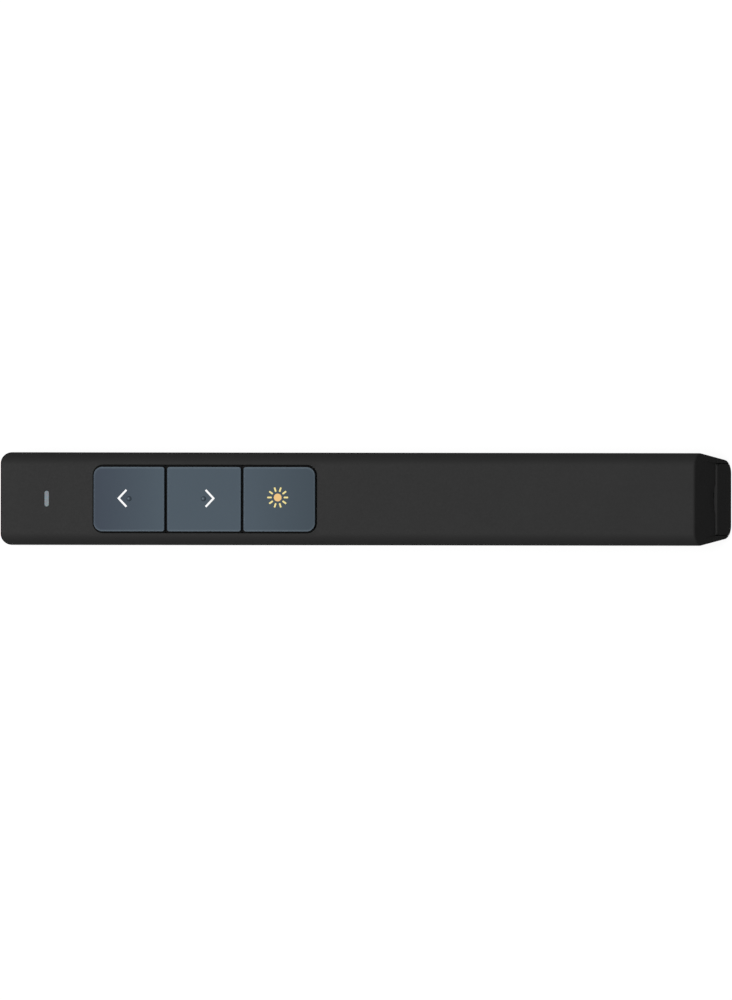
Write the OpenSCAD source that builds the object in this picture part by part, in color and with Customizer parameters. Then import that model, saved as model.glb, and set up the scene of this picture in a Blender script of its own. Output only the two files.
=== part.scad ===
// Wireless presentation clicker: a slim black housing with three thumb keys, a laser in the
// front face, one AAA cell, and a USB receiver that stows in the tail.
// X runs along the body to the tail, Z up through the keys, with z = 0 on the underside.
// The case is as long and as high as what it holds in a row: keys, cell and receiver.

/* [Case] */
// Width at the widest line, just below the top edges
case_width = 17.1; // [16.9:0.1:20]
// Lean of the side walls, which draw in towards the underside
side_lean = 7.5; // [4:0.5:8]
// Radius of the long top edges
top_edge_r = 2.4; // [2.1:0.1:2.8]
// Radius of the long bottom edges
bottom_edge_r = 2.6; // [2.1:0.1:3]
// Plan radius of the two front corners
front_corner_r = 2.1; // [1:0.1:2.8]
// Wall of both halves
wall = 1.4; // [1.2:0.1:1.5]
// Angle of the tail face to the underside
tail_angle = 63.5; // [58:0.5:70]
// Depth of the tail panel at its foot, measured along the body
panel_depth = 0.14; // [0.08:0.02:0.4]
// Height where the tail panel runs out
panel_top_z = 10.8; // [9:0.1:12]
// Length of the fingernail scoop above the receiver
scoop_length = 5.5; // [3:0.5:9]
// Depth of that scoop
scoop_depth = 0.32; // [0.1:0.02:0.6]
// Height of that scoop
scoop_height = 1.6; // [1:0.1:3]

/* [Keys] */
// Distance from the front face to the key opening
opening_setback = 16.95; // [16.9:0.05:18]
// Width of the key opening
opening_width = 12.65; // [12.4:0.05:13]
// Corner radius of the key opening
opening_r = 1.55; // [0.5:0.05:2.5]
// Gap between the keys and the opening
key_gap = 0.3; // [0.2:0.05:0.4]
// Gap between two keys
key_spacing = 0.48; // [0.3:0.02:0.8]
// Length of the previous key
previous_length = 13; // [12:0.1:13.5]
// Length of the next key
next_length = 13.6; // [12:0.1:14]
// Length of the laser key
laser_length = 13.3; // [12:0.1:13.5]
// Height of the key tops above the case
key_proud = 0.5; // [0.2:0.1:1]
// Thickness of a key's top
key_top = 1.2; // [1:0.1:1.4]
// Thickness of a key's skirt
key_skirt = 0.9; // [0.7:0.1:1.1]
// Depth of the skirts below the underside of the case's top wall
skirt_depth = 1; // [0.8:0.1:1.2]
// Width of the ledge on each side that keeps a key in
key_ledge = 0.6; // [0.5:0.05:0.7]
// Thickness of that ledge
ledge_thickness = 0.8; // [0.6:0.1:0.9]
// Radius of the corners between two keys
key_inner_r = 0.25; // [0.13:0.01:0.6]
// Radius of the stem that presses the switch
stem_r = 1.6; // [1.2:0.1:1.9]
// Distance that a key travels
key_travel = 0.3; // [0.2:0.05:0.35]
// Diameter of the raised dots
dot_diameter = 0.7; // [0.4:0.1:1]
// Height of the raised dots
dot_height = 0.2; // [0.1:0.05:0.3]
// Thickness of the key marks' ink
ink_thickness = 0.04; // [0.02:0.01:0.06]
// Stroke of the arrow marks
arrow_stroke = 0.4; // [0.3:0.05:0.6]
// Height of the arrow marks, across the body
arrow_height = 3.5; // [2:0.1:5]
// Angle between an arrow mark's arms and the body's length
arrow_angle = 47; // [35:1:60]
// Distance from a key's centre to the point of its arrow
arrow_reach = 2.2; // [2:0.1:3]
// Radius of the sun mark's disc
sun_r = 0.77; // [0.5:0.01:0.9]
// Inner end of the sun's rays
ray_inner_r = 1.07; // [1:0.01:1.2]
// Outer end of the sun's rays
ray_outer_r = 2; // [1.6:0.1:3]
// Stroke of the sun's rays
ray_stroke = 0.33; // [0.2:0.01:0.4]
// Number of rays
ray_count = 10; // [6:1:12]

/* [Status light] */
// Distance from the front face to the middle of the light
light_setback = 8.5; // [8:0.1:9]
// Length of the light across the body
light_width = 2.9; // [2:0.1:4]
// Width of the light along the body
light_length = 0.8; // [0.6:0.05:1.2]
// Thickness of the light guide under the top wall
guide_thickness = 1.2; // [1:0.1:1.5]
// Thickness of the guide's leg over the LED
guide_leg = 1; // [0.8:0.1:1.2]
// Distance from the leg to the key opening
guide_setback = 1.2; // [0.9:0.1:1.4]
// Height of the status LED
led_height = 0.75; // [0.5:0.05:1]
// Side of the status LED along the body
led_length = 0.8; // [0.6:0.1:1]
// Side of the status LED across the body
led_width = 1.6; // [1.2:0.1:2]

/* [Laser] */
// Wall between the beam hole and the line where the two halves part
beam_bridge = 0.3; // [0.2:0.05:0.6]
// Diameter of the laser barrel
barrel_diameter = 6; // [5:0.1:6.4]
// Length of the laser barrel
barrel_length = 10.5; // [9:0.1:11]
// Wall of the laser barrel
barrel_wall = 0.8; // [0.6:0.1:1.2]
// Thickness of the collimating lens
lens_thickness = 1.2; // [0.8:0.1:2]
// Diameter of the beam hole in the front face
beam_diameter = 2.8; // [2:0.1:3.2]
// Diameter of the window behind the beam hole
window_diameter = 5; // [4.4:0.1:5.4]
// Thickness of the window
window_thickness = 0.7; // [0.5:0.05:0.8]
// Thickness of the laser's driver board
driver_thickness = 0.8; // [0.6:0.1:1]
// Diameter of the laser's leads
lead_diameter = 0.6; // [0.4:0.1:0.8]
// Spacing of the laser's leads
lead_spacing = 3.2; // [2.8:0.1:3.4]
// Length of each lead that lies on the main board
lead_landing = 1.2; // [0.8:0.1:1.4]

/* [Board and switches] */
// Height of the board's underside
board_z = 7; // [6.8:0.1:7.2]
// Thickness of the board
board_thickness = 1; // [0.8:0.1:1.2]
// Gap between the board's edge and the case wall
board_gap = 0.4; // [0.3:0.05:0.8]
// Side of a key switch
switch_side = 6; // [5:0.1:6.4]
// Height of a key switch's body
switch_height = 2.1; // [1.8:0.1:2.2]
// Thickness of the floor in a key switch's body
switch_floor = 0.7; // [0.5:0.1:0.9]
// Thickness of a key switch's steel cover
switch_cover = 0.25; // [0.2:0.05:0.3]
// Height of a key switch to the top of its plunger
plunger_height = 3.1; // [3:0.05:3.2]
// Diameter of a key switch's plunger
plunger_diameter = 3.4; // [2.6:0.1:3.6]
// Diameter of the board screws' threads
board_screw_diameter = 1.4; // [1.2:0.1:1.6]
// Height of the board screws' heads
board_head_height = 0.8; // [0.6:0.1:0.9]
// Wall of the posts that carry the board
post_wall = 1; // [0.8:0.1:1.1]
// Side of the radio chip
radio_side = 5; // [4:0.1:5.6]
// Height of the radio chip
radio_height = 0.9; // [0.7:0.1:1]
// Length of the crystal can
crystal_length = 3.2; // [2:0.1:3.4]
// Width of the crystal can
crystal_width = 2.5; // [1.6:0.1:2.6]
// Height of the crystal can
crystal_height = 0.8; // [0.6:0.1:0.9]
// Length of the small chip parts
chip_length = 1; // [0.6:0.1:1.6]
// Width of the small chip parts
chip_width = 0.5; // [0.3:0.1:0.8]
// Height of the small chip parts
chip_height = 0.45; // [0.3:0.05:0.6]
// Spacing of the rows of small chip parts
chip_pitch = 2.3; // [1.8:0.1:2.4]

/* [Power switch] */
// Distance from the front face to the middle of the power switch
power_setback = 37.5; // [36:0.5:50]
// Distance that the power switch travels
power_travel = 2; // [1.5:0.1:2.5]
// Length of the knob
knob_length = 4.2; // [3.5:0.1:5]
// Height of the knob
knob_height = 2.2; // [1.8:0.1:2.4]
// Distance that the knob stands out of the side wall
knob_proud = 0.45; // [0.2:0.05:0.6]
// Thickness of the flange that keeps the knob in
knob_flange = 0.6; // [0.5:0.05:0.7]
// Height that the flange reaches past the slot, above and below
flange_lap = 0.3; // [0.2:0.05:0.4]
// Number of grip ribs on the knob
grip_count = 4; // [2:1:6]
// Depth of the grooves between those ribs
grip_depth = 0.25; // [0.1:0.05:0.3]
// Size of the switch body along, across and through the case
power_body = [6.7, 2.7, 1.4];
// Width of the actuator
actuator_width = 1.3; // [1:0.1:1.5]
// Height of the actuator
actuator_height = 0.8; // [0.6:0.05:0.9]

/* [Battery] */
// Length of the AAA cell over its cap
cell_length = 44.5; // [43.3:0.1:44.8]
// Diameter of the AAA cell
cell_diameter = 10.5; // [9.5:0.1:10.6]
// Diameter of the cell's cap
cap_diameter = 3.8; // [3:0.1:4.5]
// Height of the cell's cap
cap_height = 0.8; // [0.8:0.1:1.2]
// Thickness of the cell's sleeve
sleeve_thickness = 0.1; // [0.08:0.01:0.15]
// Gap between the cell and the ribs around it
cell_gap = 0.1; // [0.05:0.05:0.2]
// Room between the cell and the battery door
cell_lift = 0.2; // [0.1:0.05:0.4]
// Room between the cell and the top wall
cell_headroom = 0.6; // [0.4:0.1:2]
// Room between the key opening and the front case screw
spare_length = 1.94; // [0.6:0.02:12]
// Length of the negative spring when the cell is in
spring_length = 2.8; // [2.8:0.1:3.4]
// Turns of the negative spring
spring_turns = 3; // [2:1:3]
// Wire of the negative spring
spring_wire = 0.5; // [0.4:0.05:0.6]
// Radius of the spring at its seat
spring_seat_r = 3.4; // [3:0.1:4]
// Radius of the spring at the cell
spring_cell_r = 2; // [1.5:0.1:2.6]
// Thickness of the contact strips
contact_thickness = 0.3; // [0.2:0.05:0.3]
// Height of the negative strip's lower edge
strip_z = 9.4; // [9.2:0.1:9.8]
// Width of the negative strip
strip_height = 1.5; // [1:0.1:1.8]
// Room around the strips where they pass a rib
strip_gap = 0.2; // [0.1:0.05:0.3]
// Length of the strips' tabs on the board
tab_length = 1.4; // [1:0.1:1.6]
// Distance from the middle to the positive strip
tab_y = 4.6; // [4.2:0.1:4.8]
// Thickness of the walls at the ends of the battery bay
bay_wall = 0.8; // [0.7:0.1:1]
// Thickness of the ribs that carry the cell
rib_thickness = 1.2; // [0.8:0.1:2]
// Thickness of the battery door
door_thickness = 1.3; // [1.1:0.05:1.35]
// Width that the battery door laps over each side of its opening
door_lap = 0.55; // [0.3:0.05:0.7]
// Gap around the battery door
door_gap = 0.15; // [0.1:0.05:0.2]
// Corner radius of the battery door
door_r = 1; // [0.5:0.1:2]
// Length of the door's hooks
hook_length = 1.1; // [0.8:0.1:1.4]
// Thickness of the door's hooks
hook_thickness = 0.8; // [0.6:0.1:0.9]
// Width of the door's hooks
hook_width = 2.3; // [1.5:0.1:2.4]
// Distance from the middle to the inner side of a hook
hook_offset = 2.5; // [2.4:0.1:3]
// Thickness of the posts that carry the hooks
hook_root = 0.6; // [0.5:0.1:0.8]
// Gap between a hook and the floor that it laps
hook_gap = 0.1; // [0.05:0.05:0.2]
// Room that the hooks need between the door's front edge and the front case screw
hook_room = 1.1; // [1:0.1:1.5]
// Length of the door's spring tongue
tongue_length = 6; // [4:0.5:9]
// Width of the door's spring tongue
tongue_width = 5.6; // [4:0.2:8]
// Width of the slits beside that tongue
tongue_slit = 0.3; // [0.2:0.05:0.5]

/* [Case screws] */
// Diameter of the threads
screw_diameter = 1.6; // [1.4:0.1:1.7]
// Diameter of the heads
head_diameter = 3; // [2.6:0.1:3.1]
// Height of the heads
head_height = 1; // [0.8:0.1:1.1]
// Wall of the posts that take the screws
boss_wall = 0.9; // [0.7:0.05:1]
// Depth of thread in a post
thread_depth = 4; // [3:0.5:6]
// Length of the cross recesses, as a share of the head's radius
recess_length = 1; // [0.8:0.1:1.4]
// Width of the cross recesses, as a share of the head's radius
recess_width = 0.22; // [0.15:0.01:0.3]
// Depth of the cross recesses, as a share of the head's height
recess_depth = 0.6; // [0.4:0.1:0.7]
// Thickness of the bars that the screws clamp
seat_thickness = 1.9; // [1.8:0.1:2.2]

/* [Receiver] */
// Width of the receiver's cap
cap_width = 13.2; // [12.9:0.1:13.4]
// Length of the receiver's cap along the underside
cap_length = 6; // [5.4:0.1:6.2]
// Gap around the receiver
receiver_gap = 0.1; // [0.05:0.01:0.15]
// Wall of the receiver's cap
cap_wall = 0.8; // [0.6:0.1:1]
// Length of the USB plug
plug_length = 11.75; // [11.7:0.05:12]
// Width of the USB plug
plug_width = 12; // [11.8:0.05:12.1]
// Height of the USB plug
plug_height = 4.5; // [4.3:0.05:4.55]
// Thickness of the plug's steel shell
plug_shell = 0.3; // [0.2:0.05:0.35]
// Floor of the case under the plug
plug_floor = 0.7; // [0.6:0.05:0.75]
// Room past the plug's mouth
plug_tip_gap = 0.3; // [0.2:0.1:1]
// Thickness of the plug's tongue
tongue_thickness = 1.84; // [1.6:0.02:1.9]
// Distance from the plug's mouth to the tongue
tongue_setback = 0.4; // [0.2:0.1:0.8]
// Side of the square holes that a socket's springs catch
catch_side = 2.2; // [1.8:0.1:2.5]
// Distance from the plug's mouth to those holes
catch_setback = 4; // [3:0.1:5]
// Distance from the plug's middle to those holes
catch_offset = 1.6; // [1.2:0.1:2]
// Width of the plug's contacts
pin_width = 1; // [0.8:0.05:1.2]
// Thickness of the plug's contacts
pin_thickness = 0.15; // [0.1:0.01:0.25]
// Distance from the plug's mouth to its contacts
pin_setback = 1.2; // [0.6:0.1:2]
// Distance from the middle to the two power contacts
power_pin_y = 3.5; // [3.2:0.1:3.8]
// Distance from the middle to the two data contacts
data_pin_y = 1; // [0.8:0.1:1.4]
// Side of the receiver's chip across the body
receiver_chip_side = 3; // [2:0.1:4]
// Thickness of the receiver's board
receiver_board_thickness = 0.6; // [0.5:0.1:0.8]
// Roof between the receiver's bay and the inside of the case
roof_thickness = 1.2; // [0.9:0.1:1.6]

/* [Hidden] */
$fn = 64;

// Colours
case_black = "#353535";
key_grey = "#515b65";
mark_white = "#e8eaec";
steel_grey = "#b9bcc0";
board_green = "#1f5a3c";
part_black = "#1c1c1e";
brass_yellow = "#b08d4a";
gold_yellow = "#d0a94c";

// Cuts and joined pieces run into each other by overlap, and cuts past the outside by beyond
overlap = 0.5;
beyond = 3;
boss_bite = 0.3;

// Overall size, from what lies in a row
boss_r = screw_diameter / 2 + boss_wall;
opening_length = 2 * key_gap + previous_length + next_length + laser_length + 2 * key_spacing;
screw_length = 2 * boss_r - boss_bite;
battery_bay_length = 2 * (bay_wall + contact_thickness) + cell_length + spring_length;
receiver_length = receiver_gap + bay_wall + plug_tip_gap + plug_length + cap_length;
case_length = opening_setback + opening_length + spare_length + battery_bay_length
    + 2 * screw_length + receiver_length;
case_height = door_thickness + cell_lift + cell_diameter + cell_headroom + wall;
parting_z = plug_floor + plug_height + 3 * receiver_gap;
laser_z = parting_z + beam_bridge + beam_diameter / 2;

// Share of a slim outline's half width that its round ends take
end_round = 0.95;

// Case section: centres of the corner arcs, and the lean of the walls between them
corner_steps = 8;
top_centre = [case_width / 2 - top_edge_r, case_height - top_edge_r];
side_normal = [cos(side_lean), -sin(side_lean)];
side_reach = top_centre * side_normal + top_edge_r;
bottom_centre = [
    (side_reach - bottom_edge_r * (1 - sin(side_lean))) / cos(side_lean),
    bottom_edge_r
];
inner_top_z = case_height - wall;
key_top_z = case_height + key_proud;

// Half width of the straight part of a side wall at a height, on a surface set inwards
function side_at(z, inset = 0) = (side_reach - inset + z * sin(side_lean)) / cos(side_lean);
// Where the tail face is at a height, on a surface set inwards
function tail_at(z, inset = 0) = case_length / 2 - z / tan(tail_angle) - inset / sin(tail_angle);
function arc(centre, r, from, to, steps = corner_steps) = [
    for (i = [0 : steps])
        let (angle = from + (to - from) * i / steps)
        [centre[0] + r * cos(angle), centre[1] + r * sin(angle)]
];
function mirrored(points) = [
    for (i = [len(points) - 1 : -1 : 0]) [-points[i][0], points[i][1]]
];

// Keys along the body
front_x = -case_length / 2;
opening_x = front_x + opening_setback;
key_lengths = [previous_length, next_length, laser_length];
key_starts = [
    opening_x + key_gap,
    opening_x + key_gap + previous_length + key_spacing,
    opening_x + key_gap + previous_length + next_length + 2 * key_spacing
];
key_centres = [for (i = [0 : 2]) key_starts[i] + key_lengths[i] / 2];
opening_end_x = opening_x + opening_length;
key_half_width = opening_width / 2 - key_gap;
ledge_half_width = opening_width / 2 + key_ledge;

// Board and switches
board_top_z = board_z + board_thickness;
board_x = front_x + wall + barrel_length + driver_thickness + board_gap;
board_half_width = side_at(board_z, wall) - board_gap;
plunger_top_z = board_top_z + plunger_height;
plunger_play = 0.12;
post_r = board_screw_diameter / 2 + post_wall;
board_screw_xs = [
    (key_centres[0] + key_centres[1]) / 2,
    (key_centres[1] + key_centres[2]) / 2
];

// Battery bay and its screws, behind the keys
front_screw_x = opening_end_x + spare_length + boss_r;
front_wall_x = front_screw_x + boss_r - boss_bite;
cell_x = front_wall_x + bay_wall + contact_thickness;
rear_wall_x = cell_x + cell_length + spring_length + contact_thickness;
rear_screw_x = rear_wall_x + bay_wall - boss_bite + boss_r;
screw_xs = [front_screw_x, rear_screw_x];
board_end_x = front_screw_x - boss_r - board_gap;
seat_top_z = wall + seat_thickness;
head_z = door_thickness + door_gap;
cell_z = door_thickness + cell_lift + cell_diameter / 2;
bay_half_width = cell_diameter / 2 + 2 * cell_gap;
strip_y = board_half_width - contact_thickness;
rib_xs = [for (share = [0.2, 0.5, 0.8]) cell_x + share * cell_length];

// Receiver, in the tail
receiver_bay_x = rear_screw_x + boss_r + receiver_gap + bay_wall;
plug_x = receiver_bay_x + plug_tip_gap;
cap_x = plug_x + plug_length;
cap_top_z = parting_z - receiver_gap;
plug_z = plug_floor + receiver_gap;
receiver_board_z = plug_z + plug_shell + tongue_thickness / 2;

// Battery door
door_x = front_screw_x - boss_r - hook_room;
door_end_x = rear_screw_x + boss_r;
door_half_width = bay_half_width + door_lap;
hook_outer_y = hook_offset + hook_width;
// The door swings on its rounded front edge, which meets its faces at a slight crease
edge_crease = 0.02;
hinge_r = door_thickness / 2 + edge_crease;
hinge_x = door_x + hinge_r;
hinge_z = door_thickness / 2;

// Power switch: it rests in its off place, half a travel ahead of the middle of its slot
power_x = front_x + power_setback;
power_z = board_z - power_body[2] / 2;
knob_x = power_x - power_travel / 2;
slot_gap = 0.12;
socket_gap = 0.05;
slot_length = knob_length + power_travel + 2 * slot_gap;
slot_height = knob_height + 2 * slot_gap;
flange_length = slot_length + power_travel + 2 * slot_gap;
flange_height = slot_height + 2 * flange_lap;
flange_y = side_at(power_z - flange_height / 2, wall) - slot_gap;
power_body_y = flange_y - knob_flange - slot_gap;

// Light guide and laser
saddle_xs = [for (share = [0.25, 0.75]) front_x + wall + share * barrel_length];
light_x = front_x + light_setback;
guide_end_x = opening_x - guide_setback;
led_x = guide_end_x - guide_leg / 2;

module section(inset = 0) {
    right = concat(
        arc(bottom_centre, bottom_edge_r - inset, -90, -side_lean),
        [top_centre + (top_edge_r - inset) * side_normal],
        arc(top_centre, top_edge_r - inset, 0, 90)
    );
    polygon(concat(right, mirrored(right)));
}

// Draws its child's X as Y and its Y as Z, from one X to another
module along_x(from, to) {
    translate([from, 0, 0])
        rotate([90, 0, 90])
            linear_extrude(to - from) children();
}

// Draws its child's Y as Z, from one Y to another
module along_y(from, to) {
    translate([0, to, 0])
        rotate([90, 0, 0])
            linear_extrude(to - from) children();
}

module box(low, high) {
    translate(low) cube(high - low);
}

// The same box on both sides of the body
module pair(low, high) {
    box(low, high);
    box([low[0], -high[1], low[2]], [high[0], -low[1], high[2]]);
}

// Rectangle about the X axis, with one radius at its front corners and one at its rear
module plate(from, to, half_width, front_r, rear_r) {
    right = concat(
        arc([to - rear_r, half_width - rear_r], rear_r, 90, 0),
        arc([to - rear_r, rear_r - half_width], rear_r, 0, -90)
    );
    left = concat(
        arc([from + front_r, front_r - half_width], front_r, 270, 180),
        arc([from + front_r, half_width - front_r], front_r, 180, 90)
    );
    polygon(concat(right, left));
}

module past_tail(inset = 0) {
    low = -beyond;
    high = case_height + beyond;
    along_y(-case_width, case_width)
        polygon([
            [tail_at(low, inset), low],
            [case_length, low],
            [case_length, high],
            [tail_at(high, inset), high]
        ]);
}

module front_corners() {
    for (side = [-1, 1])
        translate([front_x, side * case_width / 2, -beyond])
            mirror([0, side > 0 ? 1 : 0, 0])
                linear_extrude(case_height + 2 * beyond)
                    difference() {
                        translate([-beyond, -beyond]) square(front_corner_r + beyond);
                        translate([front_corner_r, front_corner_r]) circle(front_corner_r);
                    }
}

// The whole outside of the case, between two heights
module outside(low, high) {
    difference() {
        intersection() {
            along_x(front_x, case_length / 2) section();
            box([front_x - beyond, -case_width, low], [case_length, case_width, high]);
        }
        front_corners();
        past_tail();
    }
}

// The hollow inside the walls, up to one X
module inside(to) {
    difference() {
        along_x(front_x + wall, to) section(wall);
        past_tail(wall);
    }
}

// A cross rib that runs into both side walls
module cross_rib(from, to, low, high) {
    intersection() {
        along_x(from, to) section(wall / 2);
        box([from, -case_width, low], [to, case_width, high]);
    }
}

// A cross rib that stays clear of the side walls
module inner_rib(from, to, low, high) {
    intersection() {
        along_x(from, to) section(wall + receiver_gap);
        box([from, -case_width, low], [to, case_width, high]);
    }
}

module rod_x(x, z, r, length) {
    translate([x, 0, z]) rotate([0, 90, 0]) cylinder(r = r, h = length);
}

// Slot for the power switch's knob, through the side wall
module knob_slot() {
    box(
        [power_x - slot_length / 2, -case_width, power_z - slot_height / 2],
        [power_x + slot_length / 2, -power_body_y, power_z + slot_height / 2]
    );
}

// Room for the negative strip, beside the cell
module strip_room() {
    box(
        [front_wall_x - overlap, -strip_y - contact_thickness - strip_gap, strip_z - strip_gap],
        [
            rear_wall_x + bay_wall + overlap,
            -strip_y + strip_gap,
            strip_z + strip_height + strip_gap
        ]
    );
}

// Room for the positive strip, past the front wall of the battery bay
module tab_room() {
    box(
        [front_wall_x - overlap, tab_y - strip_gap, board_top_z - strip_gap],
        [front_wall_x + bay_wall + overlap, case_width / 2 - wall, strip_z + strip_gap]
    );
}

// Scoop for a fingernail in the foot of the tail panel
module scoop() {
    scoop_r = (pow(scoop_length / 2, 2) + pow(scoop_depth, 2)) / (2 * scoop_depth);
    foot_x = tail_at(parting_z) - panel_depth - scoop_depth;
    intersection() {
        translate([foot_x + scoop_r, 0, parting_z - overlap])
            cylinder(r = scoop_r, h = overlap + scoop_height, $fn = 128);
        along_y(-scoop_length / 2, scoop_length / 2)
            polygon([
                [foot_x, parting_z - overlap],
                [foot_x + beyond, parting_z - overlap],
                [foot_x + beyond, parting_z],
                [tail_at(parting_z + scoop_height), parting_z + scoop_height],
                [foot_x, parting_z]
            ]);
    }
}

module tail_panel() {
    along_y(-cap_width / 2, cap_width / 2)
        polygon([
            [tail_at(parting_z) - panel_depth, parting_z],
            [tail_at(parting_z) - panel_depth, parting_z - overlap],
            [case_length, parting_z - overlap],
            [case_length, panel_top_z],
            [tail_at(panel_top_z), panel_top_z]
        ]);
    scoop();
}

module upper_case() {
    color(case_black)
        difference() {
            union() {
                difference() {
                    outside(parting_z, case_height);
                    inside(case_length / 2);
                }
                // Roof of the receiver's bay, and the wall behind it
                intersection() {
                    cross_rib(receiver_bay_x, case_length / 2, parting_z, parting_z + roof_thickness);
                    outside(parting_z, case_height);
                }
                // Ends of the battery bay
                for (x = [front_wall_x, rear_wall_x])  {
                    cross_rib(x, x + bay_wall, parting_z, inner_top_z + overlap);
                    inner_rib(x, x + bay_wall, seat_top_z, parting_z + overlap);
                }
                // Ribs over the cell
                for (x = rib_xs)
                    cross_rib(
                        x - rib_thickness / 2, x + rib_thickness / 2,
                        cell_z, inner_top_z + overlap
                    );
                // Saddles over the laser barrel
                for (x = saddle_xs)
                    cross_rib(
                        x - rib_thickness / 2, x + rib_thickness / 2,
                        laser_z, laser_z + barrel_diameter / 2 + cell_gap
                    );
                // Posts for the case screws
                for (x = screw_xs)
                    translate([x, 0, seat_top_z])
                        cylinder(r = boss_r, h = inner_top_z + overlap - seat_top_z);
            }
            // Key opening, and the wider well below the top wall
            translate([0, 0, inner_top_z - overlap])
                linear_extrude(wall + 2 * overlap)
                    plate(opening_x, opening_end_x, opening_width / 2, opening_r, opening_r);
            box(
                [opening_x, -ledge_half_width - key_gap, inner_top_z - skirt_depth],
                [opening_end_x, ledge_half_width + key_gap, inner_top_z]
            );
            // Status light
            translate([0, 0, inner_top_z - overlap])
                linear_extrude(wall + 2 * overlap) light_outline();
            laser_holes();
            knob_slot();
            tail_panel();
            strip_room();
            tab_room();
            // Seats of the cell and the laser barrel
            rod_x(cell_x, cell_z, cell_diameter / 2 + cell_gap, cell_length);
            rod_x(front_x + wall, laser_z, barrel_diameter / 2, barrel_length);
            // Holes for the screws' threads
            for (x = screw_xs)
                translate([x, 0, seat_top_z - overlap])
                    cylinder(r = screw_diameter / 2, h = overlap + thread_depth + overlap);
        }
}

module laser_holes() {
    rod_x(front_x - beyond, laser_z, beam_diameter / 2, beyond + wall + overlap);
    rod_x(front_x + wall - window_thickness, laser_z, window_diameter / 2, window_thickness + overlap);
}

module lower_case() {
    color(case_black)
        difference() {
            union() {
                difference() {
                    outside(0, parting_z);
                    inside(receiver_bay_x);
                }
                // Wall between the battery and the receiver
                cross_rib(receiver_bay_x - bay_wall, receiver_bay_x, wall / 2, parting_z);
                // Bars that the case screws clamp
                for (x = screw_xs)
                    cross_rib(x - boss_r, x + boss_r, wall, seat_top_z);
                // Saddles under the laser barrel
                for (x = saddle_xs)
                    cross_rib(
                        x - rib_thickness / 2, x + rib_thickness / 2,
                        wall / 2, parting_z
                    );
                // Posts under the board
                for (x = board_screw_xs)
                    translate([x, 0, wall / 2])
                        cylinder(r = post_r, h = board_z - wall / 2);
            }
            rod_x(front_x + wall, laser_z, barrel_diameter / 2, barrel_length);
            laser_holes();
            knob_slot();
            // Battery door's place, and the opening above it
            translate([0, 0, -overlap])
                linear_extrude(overlap + door_thickness + door_gap)
                    plate(
                        door_x - door_gap, door_end_x + door_gap,
                        door_half_width + door_gap, door_r, door_r
                    );
            box(
                [front_screw_x + boss_r, -bay_half_width, -overlap],
                [rear_screw_x - boss_r, bay_half_width, parting_z + overlap]
            );
            // Pockets that the door's hooks swing through
            pair(
                [door_x - door_gap, hook_offset - door_gap, door_thickness - overlap],
                [front_screw_x, hook_outer_y + door_gap, parting_z]
            );
            // Seats for the screws' heads and holes for their shanks
            for (x = screw_xs) {
                translate([x, 0, -overlap])
                    cylinder(r = head_diameter / 2 + cell_gap, h = overlap + head_z + head_height);
                translate([x, 0, 0])
                    cylinder(r = screw_diameter / 2 + cell_gap, h = seat_top_z + overlap);
            }
            for (x = board_screw_xs)
                translate([x, 0, board_z - thread_depth])
                    cylinder(r = board_screw_diameter / 2, h = thread_depth + overlap);
            // Bays of the plug and of the receiver's cap
            box(
                [receiver_bay_x, -plug_width / 2 - receiver_gap, plug_floor],
                [case_length / 2 + overlap, plug_width / 2 + receiver_gap, parting_z + overlap]
            );
            box(
                [cap_x - receiver_gap, -cap_width / 2 - receiver_gap, -overlap],
                [case_length / 2 + overlap, cap_width / 2 + receiver_gap, parting_z + overlap]
            );
        }
}

module battery_door() {
    color(case_black) {
        difference() {
            intersection() {
                outside(0, door_thickness);
                translate([0, 0, -overlap])
                    linear_extrude(2 * overlap + door_thickness)
                        plate(door_x, door_end_x, door_half_width, door_r, door_r);
            }
            // Rounding of the front edge
            difference() {
                box(
                    [door_x - overlap, -door_half_width - overlap, -overlap],
                    [hinge_x, door_half_width + overlap, door_thickness + overlap]
                );
                translate([hinge_x, case_width, hinge_z])
                    rotate([90, 0, 0])
                        cylinder(r = hinge_r, h = 2 * case_width);
            }
            // Slits beside the spring tongue
            pair(
                [door_end_x - tongue_length, tongue_width / 2, -overlap],
                [
                    door_end_x + overlap,
                    tongue_width / 2 + tongue_slit,
                    door_thickness + overlap
                ]
            );
        }
        // Hooks over the floor ahead of the door
        hook_z = wall + hook_gap;
        post_x = door_x + hook_gap;
        pair(
            [post_x, hook_offset, hinge_z],
            [post_x + hook_root, hook_outer_y, hook_z + hook_thickness]
        );
        pair(
            [door_x - door_gap - hook_length, hook_offset, hook_z],
            [post_x, hook_outer_y, hook_z + hook_thickness]
        );
    }
}

module screw(diameter, length, head_r, head_h) {
    slot_half = head_r * recess_width / 2;
    cylinder(r = diameter / 2, h = length);
    translate([0, 0, -head_h])
        difference() {
            cylinder(r = head_r, h = head_h);
            // Cross recess
            for (turn = [0, 90])
                rotate([0, 0, turn])
                    box(
                        [-head_r * recess_length / 2, -slot_half, -overlap],
                        [head_r * recess_length / 2, slot_half, head_h * recess_depth]
                    );
        }
}

module case_screws() {
    shank = seat_top_z - head_z - head_height + thread_depth;
    color(steel_grey)
        for (x = screw_xs)
            translate([x, 0, head_z + head_height])
                screw(screw_diameter, shank, head_diameter / 2, head_height);
}

module board_screws() {
    color(steel_grey)
        for (x = board_screw_xs)
            translate([x, 0, board_top_z])
                mirror([0, 0, 1])
                    screw(
                        board_screw_diameter,
                        board_thickness + thread_depth - overlap,
                        board_screw_diameter, board_head_height
                    );
}

module light_outline() {
    half = light_length / 2;
    plate(light_x - half, light_x + half, light_width / 2, half * end_round, half * end_round);
}

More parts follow.
